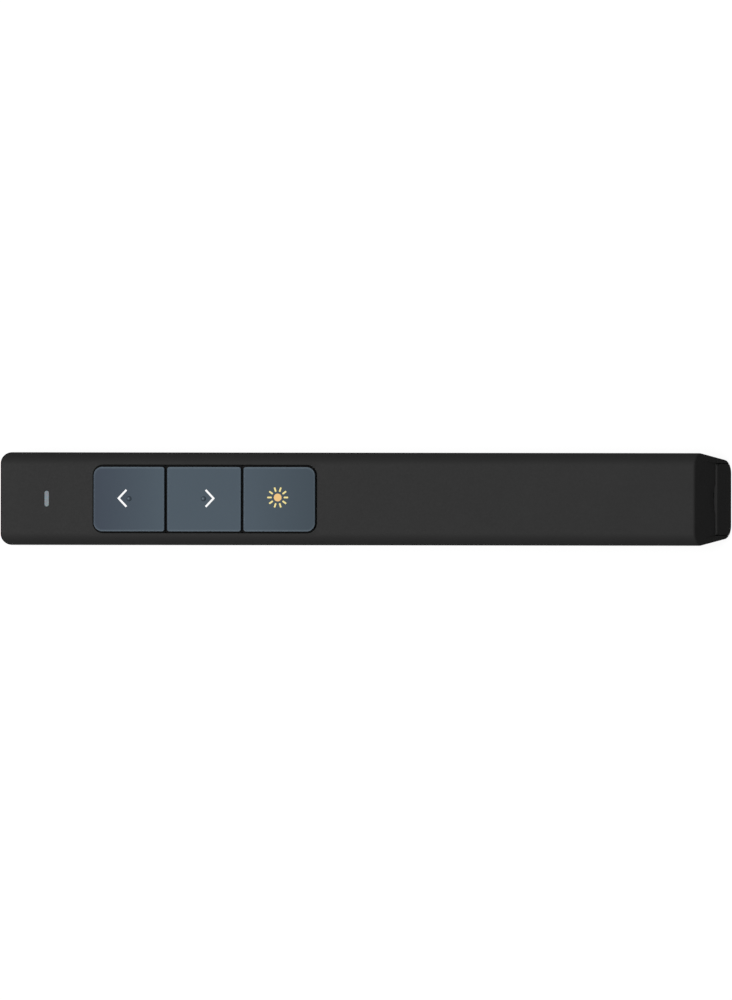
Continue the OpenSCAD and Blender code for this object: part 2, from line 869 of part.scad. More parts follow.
module status_light_pipe() {
    guide_half = light_width / 2 + overlap;
    led_top_z = board_top_z + led_height;
    color("#83929a") {
        translate([0, 0, inner_top_z]) linear_extrude(wall) light_outline();
        box(
            [light_x - light_length, -guide_half, inner_top_z - guide_thickness],
            [guide_end_x, guide_half, inner_top_z]
        );
        box(
            [guide_end_x - guide_leg, -led_width / 2, led_top_z + cell_gap],
            [guide_end_x, led_width / 2, inner_top_z - guide_thickness]
        );
    }
}

module laser_window() {
    color("#5a1518")
        rod_x(front_x + wall - window_thickness, laser_z, window_diameter / 2, window_thickness);
}

module laser_barrel() {
    bore_r = barrel_diameter / 2 - barrel_wall;
    color(brass_yellow)
        difference() {
            rod_x(front_x + wall, laser_z, barrel_diameter / 2, barrel_length);
            rod_x(front_x + wall - overlap, laser_z, bore_r, overlap + barrel_length + overlap);
        }
}

module laser_lens() {
    color("#b8d4e8")
        rod_x(
            front_x + wall + barrel_wall, laser_z,
            barrel_diameter / 2 - barrel_wall, lens_thickness
        );
}

module laser_driver_board() {
    half = barrel_diameter / 2 - barrel_wall;
    x = front_x + wall + barrel_length;
    color(board_green)
        box([x, -half, laser_z - half], [x + driver_thickness, half, laser_z + half]);
}

module laser_leads() {
    x = front_x + wall + barrel_length + driver_thickness;
    lead_r = lead_diameter / 2;
    color("#a02020")
        for (side = [-1, 1])
            translate([0, side * lead_spacing / 2, board_top_z + lead_r])
                rod_x(x, 0, lead_r, board_gap + lead_landing);
}

// One key: i is its place, counted from the front
module key_cap(i, front_r, rear_r, has_dot) {
    from = key_starts[i];
    to = from + key_lengths[i];
    low = inner_top_z - skirt_depth;
    under = key_top_z - key_top;
    color(key_grey) {
        difference() {
            union() {
                translate([0, 0, low])
                    linear_extrude(key_top_z - low)
                        plate(from, to, key_half_width, front_r, rear_r);
                // Ledges that keep the key in
                pair(
                    [from + 2 * key_skirt, key_half_width - key_skirt / 2, inner_top_z - ledge_thickness],
                    [to - 2 * key_skirt, ledge_half_width, inner_top_z]
                );
            }
            translate([0, 0, low - overlap])
                linear_extrude(under - low + overlap)
                    plate(
                        from + key_skirt, to - key_skirt, key_half_width - key_skirt,
                        key_inner_r, key_inner_r
                    );
        }
        translate([key_centres[i], 0, plunger_top_z])
            cylinder(r = stem_r, h = under - plunger_top_z + overlap);
        if (has_dot)
            translate([key_centres[i], 0, key_top_z])
                cylinder(r = dot_diameter / 2, h = dot_height);
    }
}

module previous_key() {
    key_cap(0, opening_r - key_gap, key_inner_r, true);
}

module next_key() {
    key_cap(1, key_inner_r, key_inner_r, true);
}

module laser_key() {
    key_cap(2, key_inner_r, opening_r - key_gap, false);
}

// Arrow of two strokes: it points to the front at turn 0 and to the tail at turn 180
module arrow_mark(i, turn) {
    half = arrow_height / 2;
    slant = half / tan(arrow_angle);
    inner_end = [
        slant + arrow_stroke * sin(arrow_angle),
        half - arrow_stroke * cos(arrow_angle)
    ];
    color(mark_white)
        translate([key_centres[i], 0, key_top_z])
            rotate([0, 0, turn])
                translate([-arrow_reach, 0, 0])
                    linear_extrude(ink_thickness)
                        polygon([
                            [0, 0],
                            [slant, half],
                            inner_end,
                            [arrow_stroke / sin(arrow_angle), 0],
                            [inner_end[0], -inner_end[1]],
                            [slant, -half]
                        ]);
}

module previous_mark() {
    arrow_mark(0, 0);
}

module next_mark() {
    arrow_mark(1, 180);
}

module laser_mark_disc() {
    color("#f8c67a")
        translate([key_centres[2], 0, key_top_z]) cylinder(r = sun_r, h = ink_thickness);
}

module laser_mark_rays() {
    half = ray_stroke / 2;
    color("#f3dc90")
        translate([key_centres[2], 0, key_top_z])
            for (i = [0 : ray_count - 1])
                rotate([0, 0, 360 * i / ray_count])
                    linear_extrude(ink_thickness)
                        plate(ray_inner_r, ray_outer_r, half, half * end_round, half * end_round);
}

module main_board() {
    notch_y = power_body_y - slot_gap;
    flange_half = flange_length / 2 + power_travel / 2 + slot_gap;
    color(board_green)
        difference() {
            box(
                [board_x, -board_half_width, board_z],
                [board_end_x, board_half_width, board_top_z]
            );
            // Notch for the power switch's flange
            box(
                [power_x - flange_half, -board_half_width - overlap, board_z - overlap],
                [power_x + flange_half, -notch_y, board_top_z + overlap]
            );
            for (x = board_screw_xs)
                translate([x, 0, board_z - overlap])
                    cylinder(r = board_screw_diameter / 2, h = board_thickness + 2 * overlap);
        }
}

module status_led() {
    color("#e8e4c8")
        box(
            [led_x - led_length / 2, -led_width / 2, board_top_z],
            [led_x + led_length / 2, led_width / 2, board_top_z + led_height]
        );
}

module radio_chip() {
    half = radio_side / 2;
    y = board_half_width - radio_side - board_gap;
    color(part_black)
        box(
            [key_centres[1] - half, y, board_z - radio_height],
            [key_centres[1] + half, y + radio_side, board_z]
        );
}

module crystal_can() {
    x = board_screw_xs[0] - post_r - crystal_length;
    color(steel_grey)
        box(
            [x - crystal_length / 2, -crystal_width / 2, board_z - crystal_height],
            [x + crystal_length / 2, crystal_width / 2, board_z]
        );
}

// Small resistors and capacitors in rows under the board
module board_parts() {
    first_x = board_screw_xs[1] + post_r + chip_length;
    columns = floor((board_end_x - first_x) / chip_pitch);
    color("#a58a5c")
        for (column = [0 : columns - 1], row = [-1, 0, 1])
            translate([
                first_x + chip_pitch * column,
                chip_pitch * row - chip_width / 2,
                board_z - chip_height
            ])
                cube([chip_length, chip_width, chip_height]);
}

// Key switches
module switch_body(i) {
    half = switch_side / 2;
    color(part_black)
        difference() {
            translate([key_centres[i], 0, board_top_z])
                translate([-half, -half, 0])
                    cube([switch_side, switch_side, switch_height - switch_cover]);
            translate([key_centres[i], 0, board_top_z + switch_floor])
                cylinder(r = plunger_diameter / 2 + plunger_play, h = switch_height);
        }
}

module switch_cover_plate(i) {
    half = switch_side / 2;
    z = board_top_z + switch_height - switch_cover;
    color(steel_grey)
        difference() {
            translate([key_centres[i] - half, -half, z])
                cube([switch_side, switch_side, switch_cover]);
            translate([key_centres[i], 0, z - overlap])
                cylinder(r = plunger_diameter / 2 + plunger_play, h = switch_cover + 2 * overlap);
        }
}

module switch_plunger(i) {
    foot_z = board_top_z + switch_floor + key_travel + plunger_play;
    color("#8c2f28")
        translate([key_centres[i], 0, foot_z])
            cylinder(r = plunger_diameter / 2, h = plunger_top_z - foot_z);
}

module power_switch_body() {
    half = power_body[0] / 2;
    low_z = board_z - power_body[2];
    window_half = actuator_width / 2 + power_travel / 2 + slot_gap;
    color(steel_grey)
        difference() {
            box(
                [power_x - half, -power_body_y, low_z],
                [power_x + half, power_body[1] - power_body_y, board_z]
            );
            box(
                [
                    power_x - window_half,
                    -power_body_y - overlap,
                    power_z - actuator_height / 2 - socket_gap
                ],
                [
                    power_x + window_half,
                    power_body[1] / 2 - power_body_y,
                    power_z + actuator_height / 2 + socket_gap
                ]
            );
        }
}

module power_switch_actuator() {
    half = actuator_width / 2;
    color(part_black)
        box(
            [knob_x - half, -flange_y, power_z - actuator_height / 2],
            [
                knob_x + half,
                power_body[1] / 2 - 2 * socket_gap - power_body_y,
                power_z + actuator_height / 2
            ]
        );
}

module power_switch_knob() {
    outer_y = side_at(power_z) + knob_proud;
    half = knob_length / 2;
    pitch = knob_length / (grip_count + 0.5);
    color("#2a2a2b")
        difference() {
            union() {
                box(
                    [knob_x - half, -outer_y, power_z - knob_height / 2],
                    [knob_x + half, -flange_y, power_z + knob_height / 2]
                );
                box(
                    [knob_x - flange_length / 2, -flange_y, power_z - flange_height / 2],
                    [knob_x + flange_length / 2, knob_flange - flange_y, power_z + flange_height / 2]
                );
            }
            // Grip grooves
            for (i = [0 : grip_count - 1])
                box(
                    [knob_x - half + pitch * (i + 0.5), -outer_y - overlap, power_z - knob_height],
                    [knob_x - half + pitch * (i + 1), grip_depth - outer_y, power_z + knob_height]
                );
            // Socket for the actuator
            box(
                [
                    knob_x - actuator_width / 2 - socket_gap,
                    -flange_y - 2 * socket_gap,
                    power_z - actuator_height / 2 - socket_gap
                ],
                [
                    knob_x + actuator_width / 2 + socket_gap,
                    overlap + knob_flange - flange_y,
                    power_z + actuator_height / 2 + socket_gap
                ]
            );
        }
}

module battery_cell() {
    can_r = cell_diameter / 2 - sleeve_thickness;
    color(steel_grey) {
        rod_x(cell_x, cell_z, cap_diameter / 2, cap_height);
        rod_x(cell_x + cap_height, cell_z, can_r, cell_length - cap_height);
    }
}

module battery_sleeve() {
    can_r = cell_diameter / 2 - sleeve_thickness;
    color("#3c6e58")
        difference() {
            rod_x(cell_x + cap_height, cell_z, cell_diameter / 2, cell_length - cap_height);
            rod_x(cell_x, cell_z, can_r, cell_length + overlap);
        }
}

module positive_contact() {
    x = cell_x - contact_thickness;
    tab_end_y = tab_y + contact_thickness;
    color(steel_grey) {
        box([x, -cap_diameter, cell_z - cap_diameter], [cell_x, tab_end_y, strip_z]);
        box([board_end_x, tab_y, board_top_z], [x, tab_end_y, strip_z]);
        box(
            [board_end_x - tab_length, tab_y - tab_length, board_top_z],
            [board_end_x, tab_end_y, board_top_z + contact_thickness]
        );
    }
}

module negative_contact() {
    x = rear_wall_x - contact_thickness;
    half = spring_seat_r + spring_wire;
    color(steel_grey) {
        box([x, -half, cell_z - half], [rear_wall_x, half, strip_z + strip_height]);
        box([x, -strip_y - contact_thickness, strip_z], [rear_wall_x, -half, strip_z + strip_height]);
        box(
            [board_end_x - tab_length, -strip_y - contact_thickness, strip_z],
            [x, -strip_y, strip_z + strip_height]
        );
        box(
            [board_end_x - tab_length, -strip_y - contact_thickness, board_top_z],
            [board_end_x, -strip_y, strip_z]
        );
    }
}

// Conical coil: ring n of the tube is the wire's section at that turn, and the radius and the
// place along X change evenly from the seat to the cell
module negative_spring() {
    sides = 8;
    steps = 24 * spring_turns;
    wire_r = spring_wire / 2;
    run = spring_length - spring_wire;
    rings = [
        for (step = [0 : steps])
            let (
                share = step / steps,
                turn = 360 * spring_turns * share,
                coil_r = spring_seat_r + (spring_cell_r - spring_seat_r) * share,
                x = rear_wall_x - contact_thickness - wire_r - run * share
            )
            for (side = [0 : sides - 1])
                let (
                    angle = 360 * side / sides,
                    reach = coil_r + wire_r * cos(angle)
                )
                [x + wire_r * sin(angle), reach * cos(turn), cell_z + reach * sin(turn)]
    ];
    skin = [
        for (step = [0 : steps - 1], side = [0 : sides - 1])
            let (
                a = step * sides + side,
                b = step * sides + (side + 1) % sides
            )
            [a, a + sides, b + sides, b]
    ];
    first_end = [for (side = [0 : sides - 1]) side];
    last_end = [for (side = [sides - 1 : -1 : 0]) steps * sides + side];
    color(steel_grey) polyhedron(rings, concat(skin, [first_end, last_end]));
}

module receiver_cap() {
    half = cap_width / 2 - receiver_gap / 2;
    room_half = half - cap_wall;
    color(case_black)
        difference() {
            intersection() {
                outside(0, cap_top_z);
                box([cap_x, -half, -overlap], [case_length, half, cap_top_z]);
            }
            // Room for the board
            box(
                [cap_x - overlap, -room_half, cap_wall],
                [tail_at(cap_top_z) - 2 * cap_wall, room_half, cap_top_z - cap_wall]
            );
        }
}

module usb_shell() {
    half = plug_width / 2;
    hole_x = plug_x + catch_setback;
    color(steel_grey)
        difference() {
            box([plug_x, -half, plug_z], [cap_x, half, plug_z + plug_height]);
            box(
                [plug_x - overlap, plug_shell - half, plug_z + plug_shell],
                [cap_x + overlap, half - plug_shell, plug_z + plug_height - plug_shell]
            );
            // Two holes that a socket's springs catch, on each face
            pair(
                [hole_x, catch_offset, plug_z - overlap],
                [hole_x + catch_side, catch_offset + catch_side, plug_z + plug_height + overlap]
            );
        }
}

module usb_tongue() {
    half = plug_width / 2 - plug_shell;
    low = plug_z + plug_shell;
    color("#e6e6e2")
        box([plug_x + tongue_setback, -half, low], [cap_x, half, low + tongue_thickness]);
}

module usb_contacts() {
    low = plug_z + plug_shell + tongue_thickness;
    color(gold_yellow)
        for (y = [-power_pin_y, -data_pin_y, data_pin_y, power_pin_y])
            box(
                [plug_x + pin_setback, y - pin_width / 2, low],
                [cap_x, y + pin_width / 2, low + pin_thickness]
            );
}

module receiver_board() {
    half = cap_width / 2 - cap_wall - 3 * receiver_gap;
    end_x = tail_at(cap_top_z) - 2 * cap_wall - receiver_gap;
    color(board_green)
        box(
            [cap_x, -half, receiver_board_z],
            [end_x, half, receiver_board_z + receiver_board_thickness]
        );
}

module receiver_chip() {
    low = receiver_board_z + receiver_board_thickness;
    half = receiver_chip_side / 2;
    color(part_black)
        box([cap_x + receiver_gap, -half, low], [cap_x + half, half, low + receiver_board_thickness]);
}

upper_case();
lower_case();
battery_door();
case_screws();
status_light_pipe();
laser_window();
laser_barrel();
laser_lens();
laser_driver_board();
laser_leads();
previous_key();
next_key();
laser_key();
previous_mark();
next_mark();
laser_mark_disc();
laser_mark_rays();
main_board();
board_screws();
status_led();
radio_chip();
crystal_can();
board_parts();
switch_body(0);  // previous_switch_body
switch_body(1);  // next_switch_body
switch_body(2);  // laser_switch_body
switch_cover_plate(0);  // previous_switch_cover
switch_cover_plate(1);  // next_switch_cover
switch_cover_plate(2);  // laser_switch_cover
switch_plunger(0);  // previous_switch_plunger
switch_plunger(1);  // next_switch_plunger
switch_plunger(2);  // laser_switch_plunger
power_switch_body();
power_switch_actuator();
power_switch_knob();
battery_cell();
battery_sleeve();
positive_contact();
negative_contact();
negative_spring();
receiver_cap();
usb_shell();
usb_tongue();
usb_contacts();
receiver_board();
receiver_chip();
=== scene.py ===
import math
import bmesh
import bpy
import numpy as np
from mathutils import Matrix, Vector
from mathutils.geometry import delaunay_2d_cdt


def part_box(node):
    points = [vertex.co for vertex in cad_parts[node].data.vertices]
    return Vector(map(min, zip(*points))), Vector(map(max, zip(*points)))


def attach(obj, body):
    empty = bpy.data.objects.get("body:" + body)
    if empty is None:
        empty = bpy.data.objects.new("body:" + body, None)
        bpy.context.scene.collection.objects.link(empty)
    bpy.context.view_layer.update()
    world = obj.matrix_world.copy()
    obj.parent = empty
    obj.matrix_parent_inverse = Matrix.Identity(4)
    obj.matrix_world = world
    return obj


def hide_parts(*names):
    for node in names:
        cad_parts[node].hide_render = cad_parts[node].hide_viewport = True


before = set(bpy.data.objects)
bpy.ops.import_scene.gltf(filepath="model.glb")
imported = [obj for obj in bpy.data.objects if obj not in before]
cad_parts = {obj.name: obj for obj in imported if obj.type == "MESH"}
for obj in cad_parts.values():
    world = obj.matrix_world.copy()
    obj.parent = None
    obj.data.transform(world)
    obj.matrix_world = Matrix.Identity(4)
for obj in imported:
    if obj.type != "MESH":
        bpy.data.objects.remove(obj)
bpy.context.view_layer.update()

mm = 0.001                      # every size below is in millimetres


# Shared measures of the body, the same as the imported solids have
body = {
    "frontX": -67.5,
    "tailX": 67.5,              # foot of the tail face
    "halfWidth": 8.55,          # at the widest line
    "height": 14.0,
    "lean": math.radians(7.5),  # side walls draw in towards the underside
    "topRadius": 2.4,
    "bottomRadius": 2.6,
    "cornerRadius": 2.1,        # front corners, seen from above
    "tailAngle": math.radians(63.5),
    "frontRound": 0.3,
    "tailRound": (0.16, 0.27),  # round of the tail face's edges, at its foot and at its crest
    "partingZ": 5.5,
    "seamRound": 0.13,          # rounded lips where two halves meet
    "filmDepth": 0.25,          # the smooth outer skin's own thickness
    "coreDepth": 0.3,           # how far the solid under it is drawn in
    "skinMargin": 0.06,         # points of a solid this close to the outside belong to it
}
sideNormal = np.array([math.cos(body["lean"]), -math.sin(body["lean"])])
topCentre = np.array([body["halfWidth"], body["height"]]) - body["topRadius"]
sideReach = topCentre @ sideNormal + body["topRadius"]
bottomCentre = np.array([
    (sideReach - body["bottomRadius"] * (1 + sideNormal[1])) / sideNormal[0],
    body["bottomRadius"],
])


def tailAt(z):
    return body["tailX"] - z / math.tan(body["tailAngle"])


def sideAt(z):
    return (sideReach - z * sideNormal[1]) / sideNormal[0]


# Rounded edge between two distance fields: the larger one, turned into a circle where both are near
def blendMax(a, b, radius):
    return np.minimum(np.maximum(a, b), -radius) + np.hypot(
        np.maximum(a + radius, 0), np.maximum(b + radius, 0))


# Distance from the case's section: three flats, and two arcs where a point lies in an arc's sector
def sectionField(y, z):
    field = np.maximum(np.maximum(z - body["height"], -z), y * sideNormal[0] + z * sideNormal[1] - sideReach)
    sectors = (
        (topCentre, body["topRadius"], sideNormal, np.array([0.0, 1.0])),
        (bottomCentre, body["bottomRadius"], np.array([0.0, -1.0]), sideNormal),
    )
    for centre, radius, low, high in sectors:
        dy, dz = y - centre[0], z - centre[1]
        within = (low[0] * dz - low[1] * dy > 0) & (dy * high[1] - dz * high[0] > 0)
        field = np.where(within, np.hypot(dy, dz) - radius, field)
    return field


# Distance from the whole outside: the section, the slanted tail plane, and the front with its corners
def bodyField(points):
    x, y, z = points[..., 0], np.abs(points[..., 1]), points[..., 2]
    tail = (x - body["tailX"]) * math.sin(body["tailAngle"]) + z * math.cos(body["tailAngle"])
    footRound, crestRound = body["tailRound"]
    softness = footRound + (crestRound - footRound) * np.clip(z / body["height"], 0, 1)
    sides = blendMax(sectionField(y, z), tail, softness)
    cornerX = body["frontX"] + body["cornerRadius"]
    cornerY = body["halfWidth"] - body["cornerRadius"]
    round_ = np.hypot(np.minimum(x - cornerX, 0), y - cornerY) - body["cornerRadius"]
    front = np.where(y > cornerY, round_, body["frontX"] - x)
    softness = body["frontRound"] * np.clip((cornerX - 0.2 - x) / 1.4, 0, 1)
    return blendMax(sides, front, softness)


# Distance, seen from above, from a plate with rounded corners
def plateField(points, x0, x1, half, frontRadius, rearRadius):
    x, y = points[..., 0], np.abs(points[..., 1])
    radius = np.where(x < (x0 + x1) / 2, frontRadius, rearRadius)
    across = y - half + radius
    along = np.abs(x - (x0 + x1) / 2) - (x1 - x0) / 2 + radius
    outside = np.hypot(np.maximum(across, 0), np.maximum(along, 0))
    return outside + np.minimum(np.maximum(across, along), 0) - radius


# Unit outward direction of a field, from central differences
def gradientOf(field, points, step=1e-3):
    parts = []
    for axis in range(3):
        shift = np.zeros(3)
        shift[axis] = step
        parts.append(field(points + shift) - field(points - shift))
    gradient = np.stack(parts, -1)
    return gradient / np.maximum(np.linalg.norm(gradient, axis=-1, keepdims=True), 1e-12)


# Where rays from inside leave a field: halving between a point inside and one outside
def castOut(field, origin, direction, reach=9.0):
    near = np.zeros(origin.shape[:-1])
    far = np.full(origin.shape[:-1], reach)
    for _ in range(40):
        middle = (near + far) / 2
        inside = field(origin + direction * middle[..., None]) < 0
        near = np.where(inside, middle, near)
        far = np.where(inside, far, middle)
    return origin + direction * near[..., None]


# A growing set of points and faces
class Skin:
    def __init__(self):
        self.points = np.zeros((0, 3))
        self.quads = np.zeros((0, 4), int)
        self.tris = np.zeros((0, 3), int)

    def add(self, points):
        start = len(self.points)
        self.points = np.vstack([self.points, points.reshape(-1, 3)])
        return start + np.arange(points[..., 0].size).reshape(points.shape[:-1])

    # quads over a grid of indices, closed along its columns
    def weave(self, grid, flip=False, keep=None):
        following = np.roll(grid, -1, axis=1)
        cells = np.stack([grid[:-1], grid[1:], following[1:], following[:-1]], -1)
        if keep is not None:
            cells = cells[keep]
        cells = cells.reshape(-1, 4)
        self.quads = np.vstack([self.quads, cells[:, ::-1] if flip else cells])

    # triangles in a region between closed loops, worked out in two of the axes
    def fill(self, outer, holes=(), axes=(0, 1), flip=False):
        loops = [np.asarray(outer)] + [np.asarray(h) for h in holes]
        used = np.concatenate(loops)
        flat = self.points[used][:, axes]
        edges, start = [], 0
        for loop in loops:
            ring = start + np.arange(len(loop))
            edges += list(zip(ring.tolist(), np.roll(ring, -1).tolist()))
            start += len(loop)
        made = delaunay_2d_cdt([Vector(p) for p in flat], edges, [], 0, 1e-7, True)
        where = np.array([origin[0] for origin in made[3]])
        faces = where[np.array(made[2])]
        centre = flat[faces].mean(1)
        kept = insideLoop(centre, self.points[loops[0]][:, axes])
        for hole in loops[1:]:
            kept &= ~insideLoop(centre, self.points[hole][:, axes])
        faces = faces[kept]
        a, b, c = (flat[faces[:, i]] for i in range(3))
        turn = (b[:, 0] - a[:, 0]) * (c[:, 1] - a[:, 1]) - (b[:, 1] - a[:, 1]) * (c[:, 0] - a[:, 0])
        faces[turn < 0] = faces[turn < 0][:, ::-1]
        faces = used[faces]
        self.tris = np.vstack([self.tris, faces[:, ::-1] if flip else faces])

    def join(self, other):
        start = len(self.points)
        self.points = np.vstack([self.points, other.points])
        self.quads = np.vstack([self.quads, other.quads + start])
        self.tris = np.vstack([self.tris, other.tris + start])

    # Gives an open skin its thickness: a copy set inwards, turned round, and a rim along each free edge
    def thicken(self, inward):
        count = len(self.points)
        directed = []
        for faces in (self.quads, self.tris):
            for i in range(faces.shape[1]):
                directed.append(np.stack([faces[:, i], faces[:, (i + 1) % faces.shape[1]]], -1))
        directed = np.vstack(directed)
        code = directed[:, 0] * count + directed[:, 1]
        back = directed[:, 1] * count + directed[:, 0]
        free = directed[~np.isin(back, code)]
        self.points = np.vstack([self.points, self.points + inward])
        rim = np.stack([free[:, 1], free[:, 0], free[:, 0] + count, free[:, 1] + count], -1)
        self.quads = np.vstack([self.quads, self.quads[:, ::-1] + count, rim])
        self.tris = np.vstack([self.tris, self.tris[:, ::-1] + count])


def insideLoop(points, loop):
    a, b = loop, np.roll(loop, -1, axis=0)
    px, py = points[:, None, 0], points[:, None, 1]
    crosses = (a[None, :, 1] > py) != (b[None, :, 1] > py)
    rise = np.where(b[:, 1] == a[:, 1], 1e-12, b[:, 1] - a[:, 1])
    x = a[None, :, 0] + (py - a[None, :, 1]) * (b[None, :, 0] - a[None, :, 0]) / rise
    return (crosses & (px < x)).sum(1) % 2 == 1


# Removes what a skin has inside a box, after cutting it along the box's faces
def cutAway(skin, low, high):
    low, high = np.array(low, float), np.array(high, float)
    for axis in range(3):
        for bound in (low[axis], high[axis]):
            splitAt(skin, axis, bound, low, high)
    for name in ("quads", "tris"):
        faces = getattr(skin, name)
        centre = skin.points[faces].mean(1)
        inside = ((centre > low) & (centre < high)).all(1)
        setattr(skin, name, faces[~inside])


# Triangles whose three corners differ
def wholeTris(tris):
    return tris[(tris != np.roll(tris, 1, 1)).all(1)]


# What a cut triangle becomes, by the corner that lies alone on its side: 0 to 2 are its corners, and 3 to 5
# the places where the edges that start there meet the plane
cutFaces = np.array([
    [(0, 3, 5), (3, 1, 2), (3, 2, 5)],
    [(3, 1, 4), (0, 3, 4), (0, 4, 2)],
    [(4, 2, 5), (0, 1, 4), (0, 4, 5)],
])


# Cuts the faces near a box along one plane: quads across it become triangles, and those are cut in three
def splitAt(skin, axis, bound, low, high):
    margin = 1e-6

    def spans(faces):
        corners = skin.points[faces]
        near = ((corners.max(1) > low - margin) & (corners.min(1) < high + margin)).all(1)
        past = corners[..., axis] - bound
        return near & (past.min(1) < -margin) & (past.max(1) > margin)

    crossed = spans(skin.quads)
    loose = skin.quads[crossed]
    skin.quads = skin.quads[~crossed]
    skin.tris = np.vstack([skin.tris, loose[:, [0, 1, 2]], loose[:, [0, 2, 3]]])
    crossed = spans(skin.tris)
    if not crossed.any():
        return
    cut = skin.tris[crossed]
    past = skin.points[cut][..., axis] - bound
    side = np.where(np.abs(past) < margin, 0, np.sign(past))
    after = side * np.roll(side, -1, 1)
    lone = ((side != 0) & (after <= 0) & (np.roll(after, 1, 1) <= 0)).argmax(1)

    # an edge from one side to the other gets a new point, and one that ends on the plane gives that end
    following = np.roll(cut, -1, 1)
    edges = np.sort(np.stack([cut, following], -1)[after < 0], -1)
    edges, places = np.unique(edges, axis=0, return_inverse=True)
    start, end = skin.points[edges[:, 0]], skin.points[edges[:, 1]]
    share = (bound - start[:, axis]) / (end[:, axis] - start[:, axis])
    meets = np.where(side == 0, cut, following)
    meets[after < 0] = len(skin.points) + places.ravel()
    skin.points = np.vstack([skin.points, start + (end - start) * share[:, None]])
    made = np.hstack([cut, meets])[np.arange(len(cut))[:, None, None], cutFaces[lone]]
    skin.tris = np.vstack([skin.tris[~crossed], wholeTris(made.reshape(-1, 3))])


# Closed loop round a rectangle with quarter-circle corners, and the way out at each of its points
def ringLoop(front, tail, half, radius, spread, tailHalf=None):
    turn = np.radians(np.linspace(0, 90, spread["corner"] + 2)[1:-1])
    straight = half - radius
    tailStraight = (tailHalf or half) - radius
    parts, ways = [], []

    def side(x, y, way):
        parts.append(np.stack(np.broadcast_arrays(x, y), -1).astype(float))
        ways.append(np.broadcast_to(np.array(way, float), parts[-1].shape))

    def corner(cx, cy, start):
        angle = turn + math.radians(start)
        way = np.stack([np.cos(angle), np.sin(angle)], -1)
        parts.append(np.array([cx, cy]) + radius * way)
        ways.append(way)

    side(tail, tailStraight * spread["tail"], (1, 0))
    corner(tail - radius, tailStraight, 0)
    side(spread["side"][::-1], half, (0, 1))
    corner(front + radius, straight, 90)
    side(front, -straight * spread["front"], (-1, 0))
    corner(front + radius, -straight, 180)
    side(spread["side"], -half, (0, -1))
    corner(tail - radius, -tailStraight, 270)
    return np.vstack(parts), np.vstack(ways)


# Closed loop round a plate, seen from above, with one radius at its front and one at its rear, set inwards
def plateLoop(x0, x1, half, frontRadius, rearRadius, inset=0.0, corner=10, step=1.0):
    along = np.linspace(0, 1, int((x1 - x0) / step) + 2)
    across = np.linspace(-1, 1, int(2 * half / step) + 2)
    turn = np.radians(np.linspace(0, 90, corner + 2)[1:-1])

    def arc(cx, cy, radius, start):
        angle = turn + math.radians(start)
        return np.stack([cx + (radius - inset) * np.cos(angle), cy + (radius - inset) * np.sin(angle)], -1)

    rearY, frontY = half - rearRadius, half - frontRadius
    xs = x0 + frontRadius + (x1 - x0 - frontRadius - rearRadius) * along
    return np.vstack([
        np.stack([np.full(len(across), x1 - inset), rearY * across], -1),
        arc(x1 - rearRadius, rearY, rearRadius, 0),
        np.stack([xs[::-1], np.full(len(xs), half - inset)], -1),
        arc(x0 + frontRadius, frontY, frontRadius, 90),
        np.stack([np.full(len(across), x0 + inset), -frontY * across], -1),
        arc(x0 + frontRadius, -frontY, frontRadius, 180),
        np.stack([xs, np.full(len(xs), inset - half)], -1),
        arc(x1 - rearRadius, -rearY, rearRadius, 270),
    ])


def lift(loop, z):
    return np.column_stack([loop, np.broadcast_to(z, len(loop))])


# Angles spread evenly round a circle
def fullTurn(count):
    return 2 * math.pi * np.arange(count) / count


def newObject(name, data):
    made = bpy.data.objects.new(name, data)
    bpy.context.scene.collection.objects.link(made)
    return made


# Puts a skin into Blender as one object at the origin
def makePiece(name, skin, material, sharp=32.0):
    quads, tris = skin.quads, skin.tris
    used = np.unique(np.concatenate([quads.ravel(), tris.ravel()]))
    renumber = np.zeros(len(skin.points), int)
    renumber[used] = np.arange(len(used))
    quads, tris = renumber[quads], renumber[tris]
    loops = np.concatenate([quads.ravel(), tris.ravel()])
    starts = np.concatenate([4 * np.arange(len(quads)), 4 * len(quads) + 3 * np.arange(len(tris))])
    mesh = bpy.data.meshes.new(name)
    mesh.vertices.add(len(used))
    mesh.vertices.foreach_set("co", (skin.points[used] * mm).ravel())
    mesh.loops.add(len(loops))
    mesh.loops.foreach_set("vertex_index", loops)
    mesh.polygons.add(len(starts))
    mesh.polygons.foreach_set("loop_start", starts)
    mesh.update(calc_edges=True)
    mesh.validate()
    mesh.shade_smooth()
    mesh.set_sharp_from_angle(angle=math.radians(sharp))
    mesh.materials.append(material)
    return newObject(name, mesh)


def pointsOf(mesh):
    points = np.zeros(len(mesh.vertices) * 3)
    mesh.vertices.foreach_get("co", points)
    return points.reshape(-1, 3) / mm


# A CAD node's triangles as a skin in millimetres, with its doubled points merged
def skinOf(node):
    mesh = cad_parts[node].data
    mesh.calc_loop_triangles()
    tris = np.zeros(len(mesh.loop_triangles) * 3, int)
    mesh.loop_triangles.foreach_get("vertices", tris)
    merged, places = np.unique(np.round(pointsOf(mesh), 4), axis=0, return_inverse=True)
    skin = Skin()
    skin.points = merged
    skin.tris = wholeTris(places.ravel()[tris].reshape(-1, 3))
    return skin


# Materials: a colour's code as linear values
def linearOf(code, alpha=1.0):
    parts = [int(code[i:i + 2], 16) / 255 for i in (1, 3, 5)]
    return tuple(c / 12.92 if c <= 0.04045 else ((c + 0.055) / 1.055) ** 2.4 for c in parts) + (alpha,)


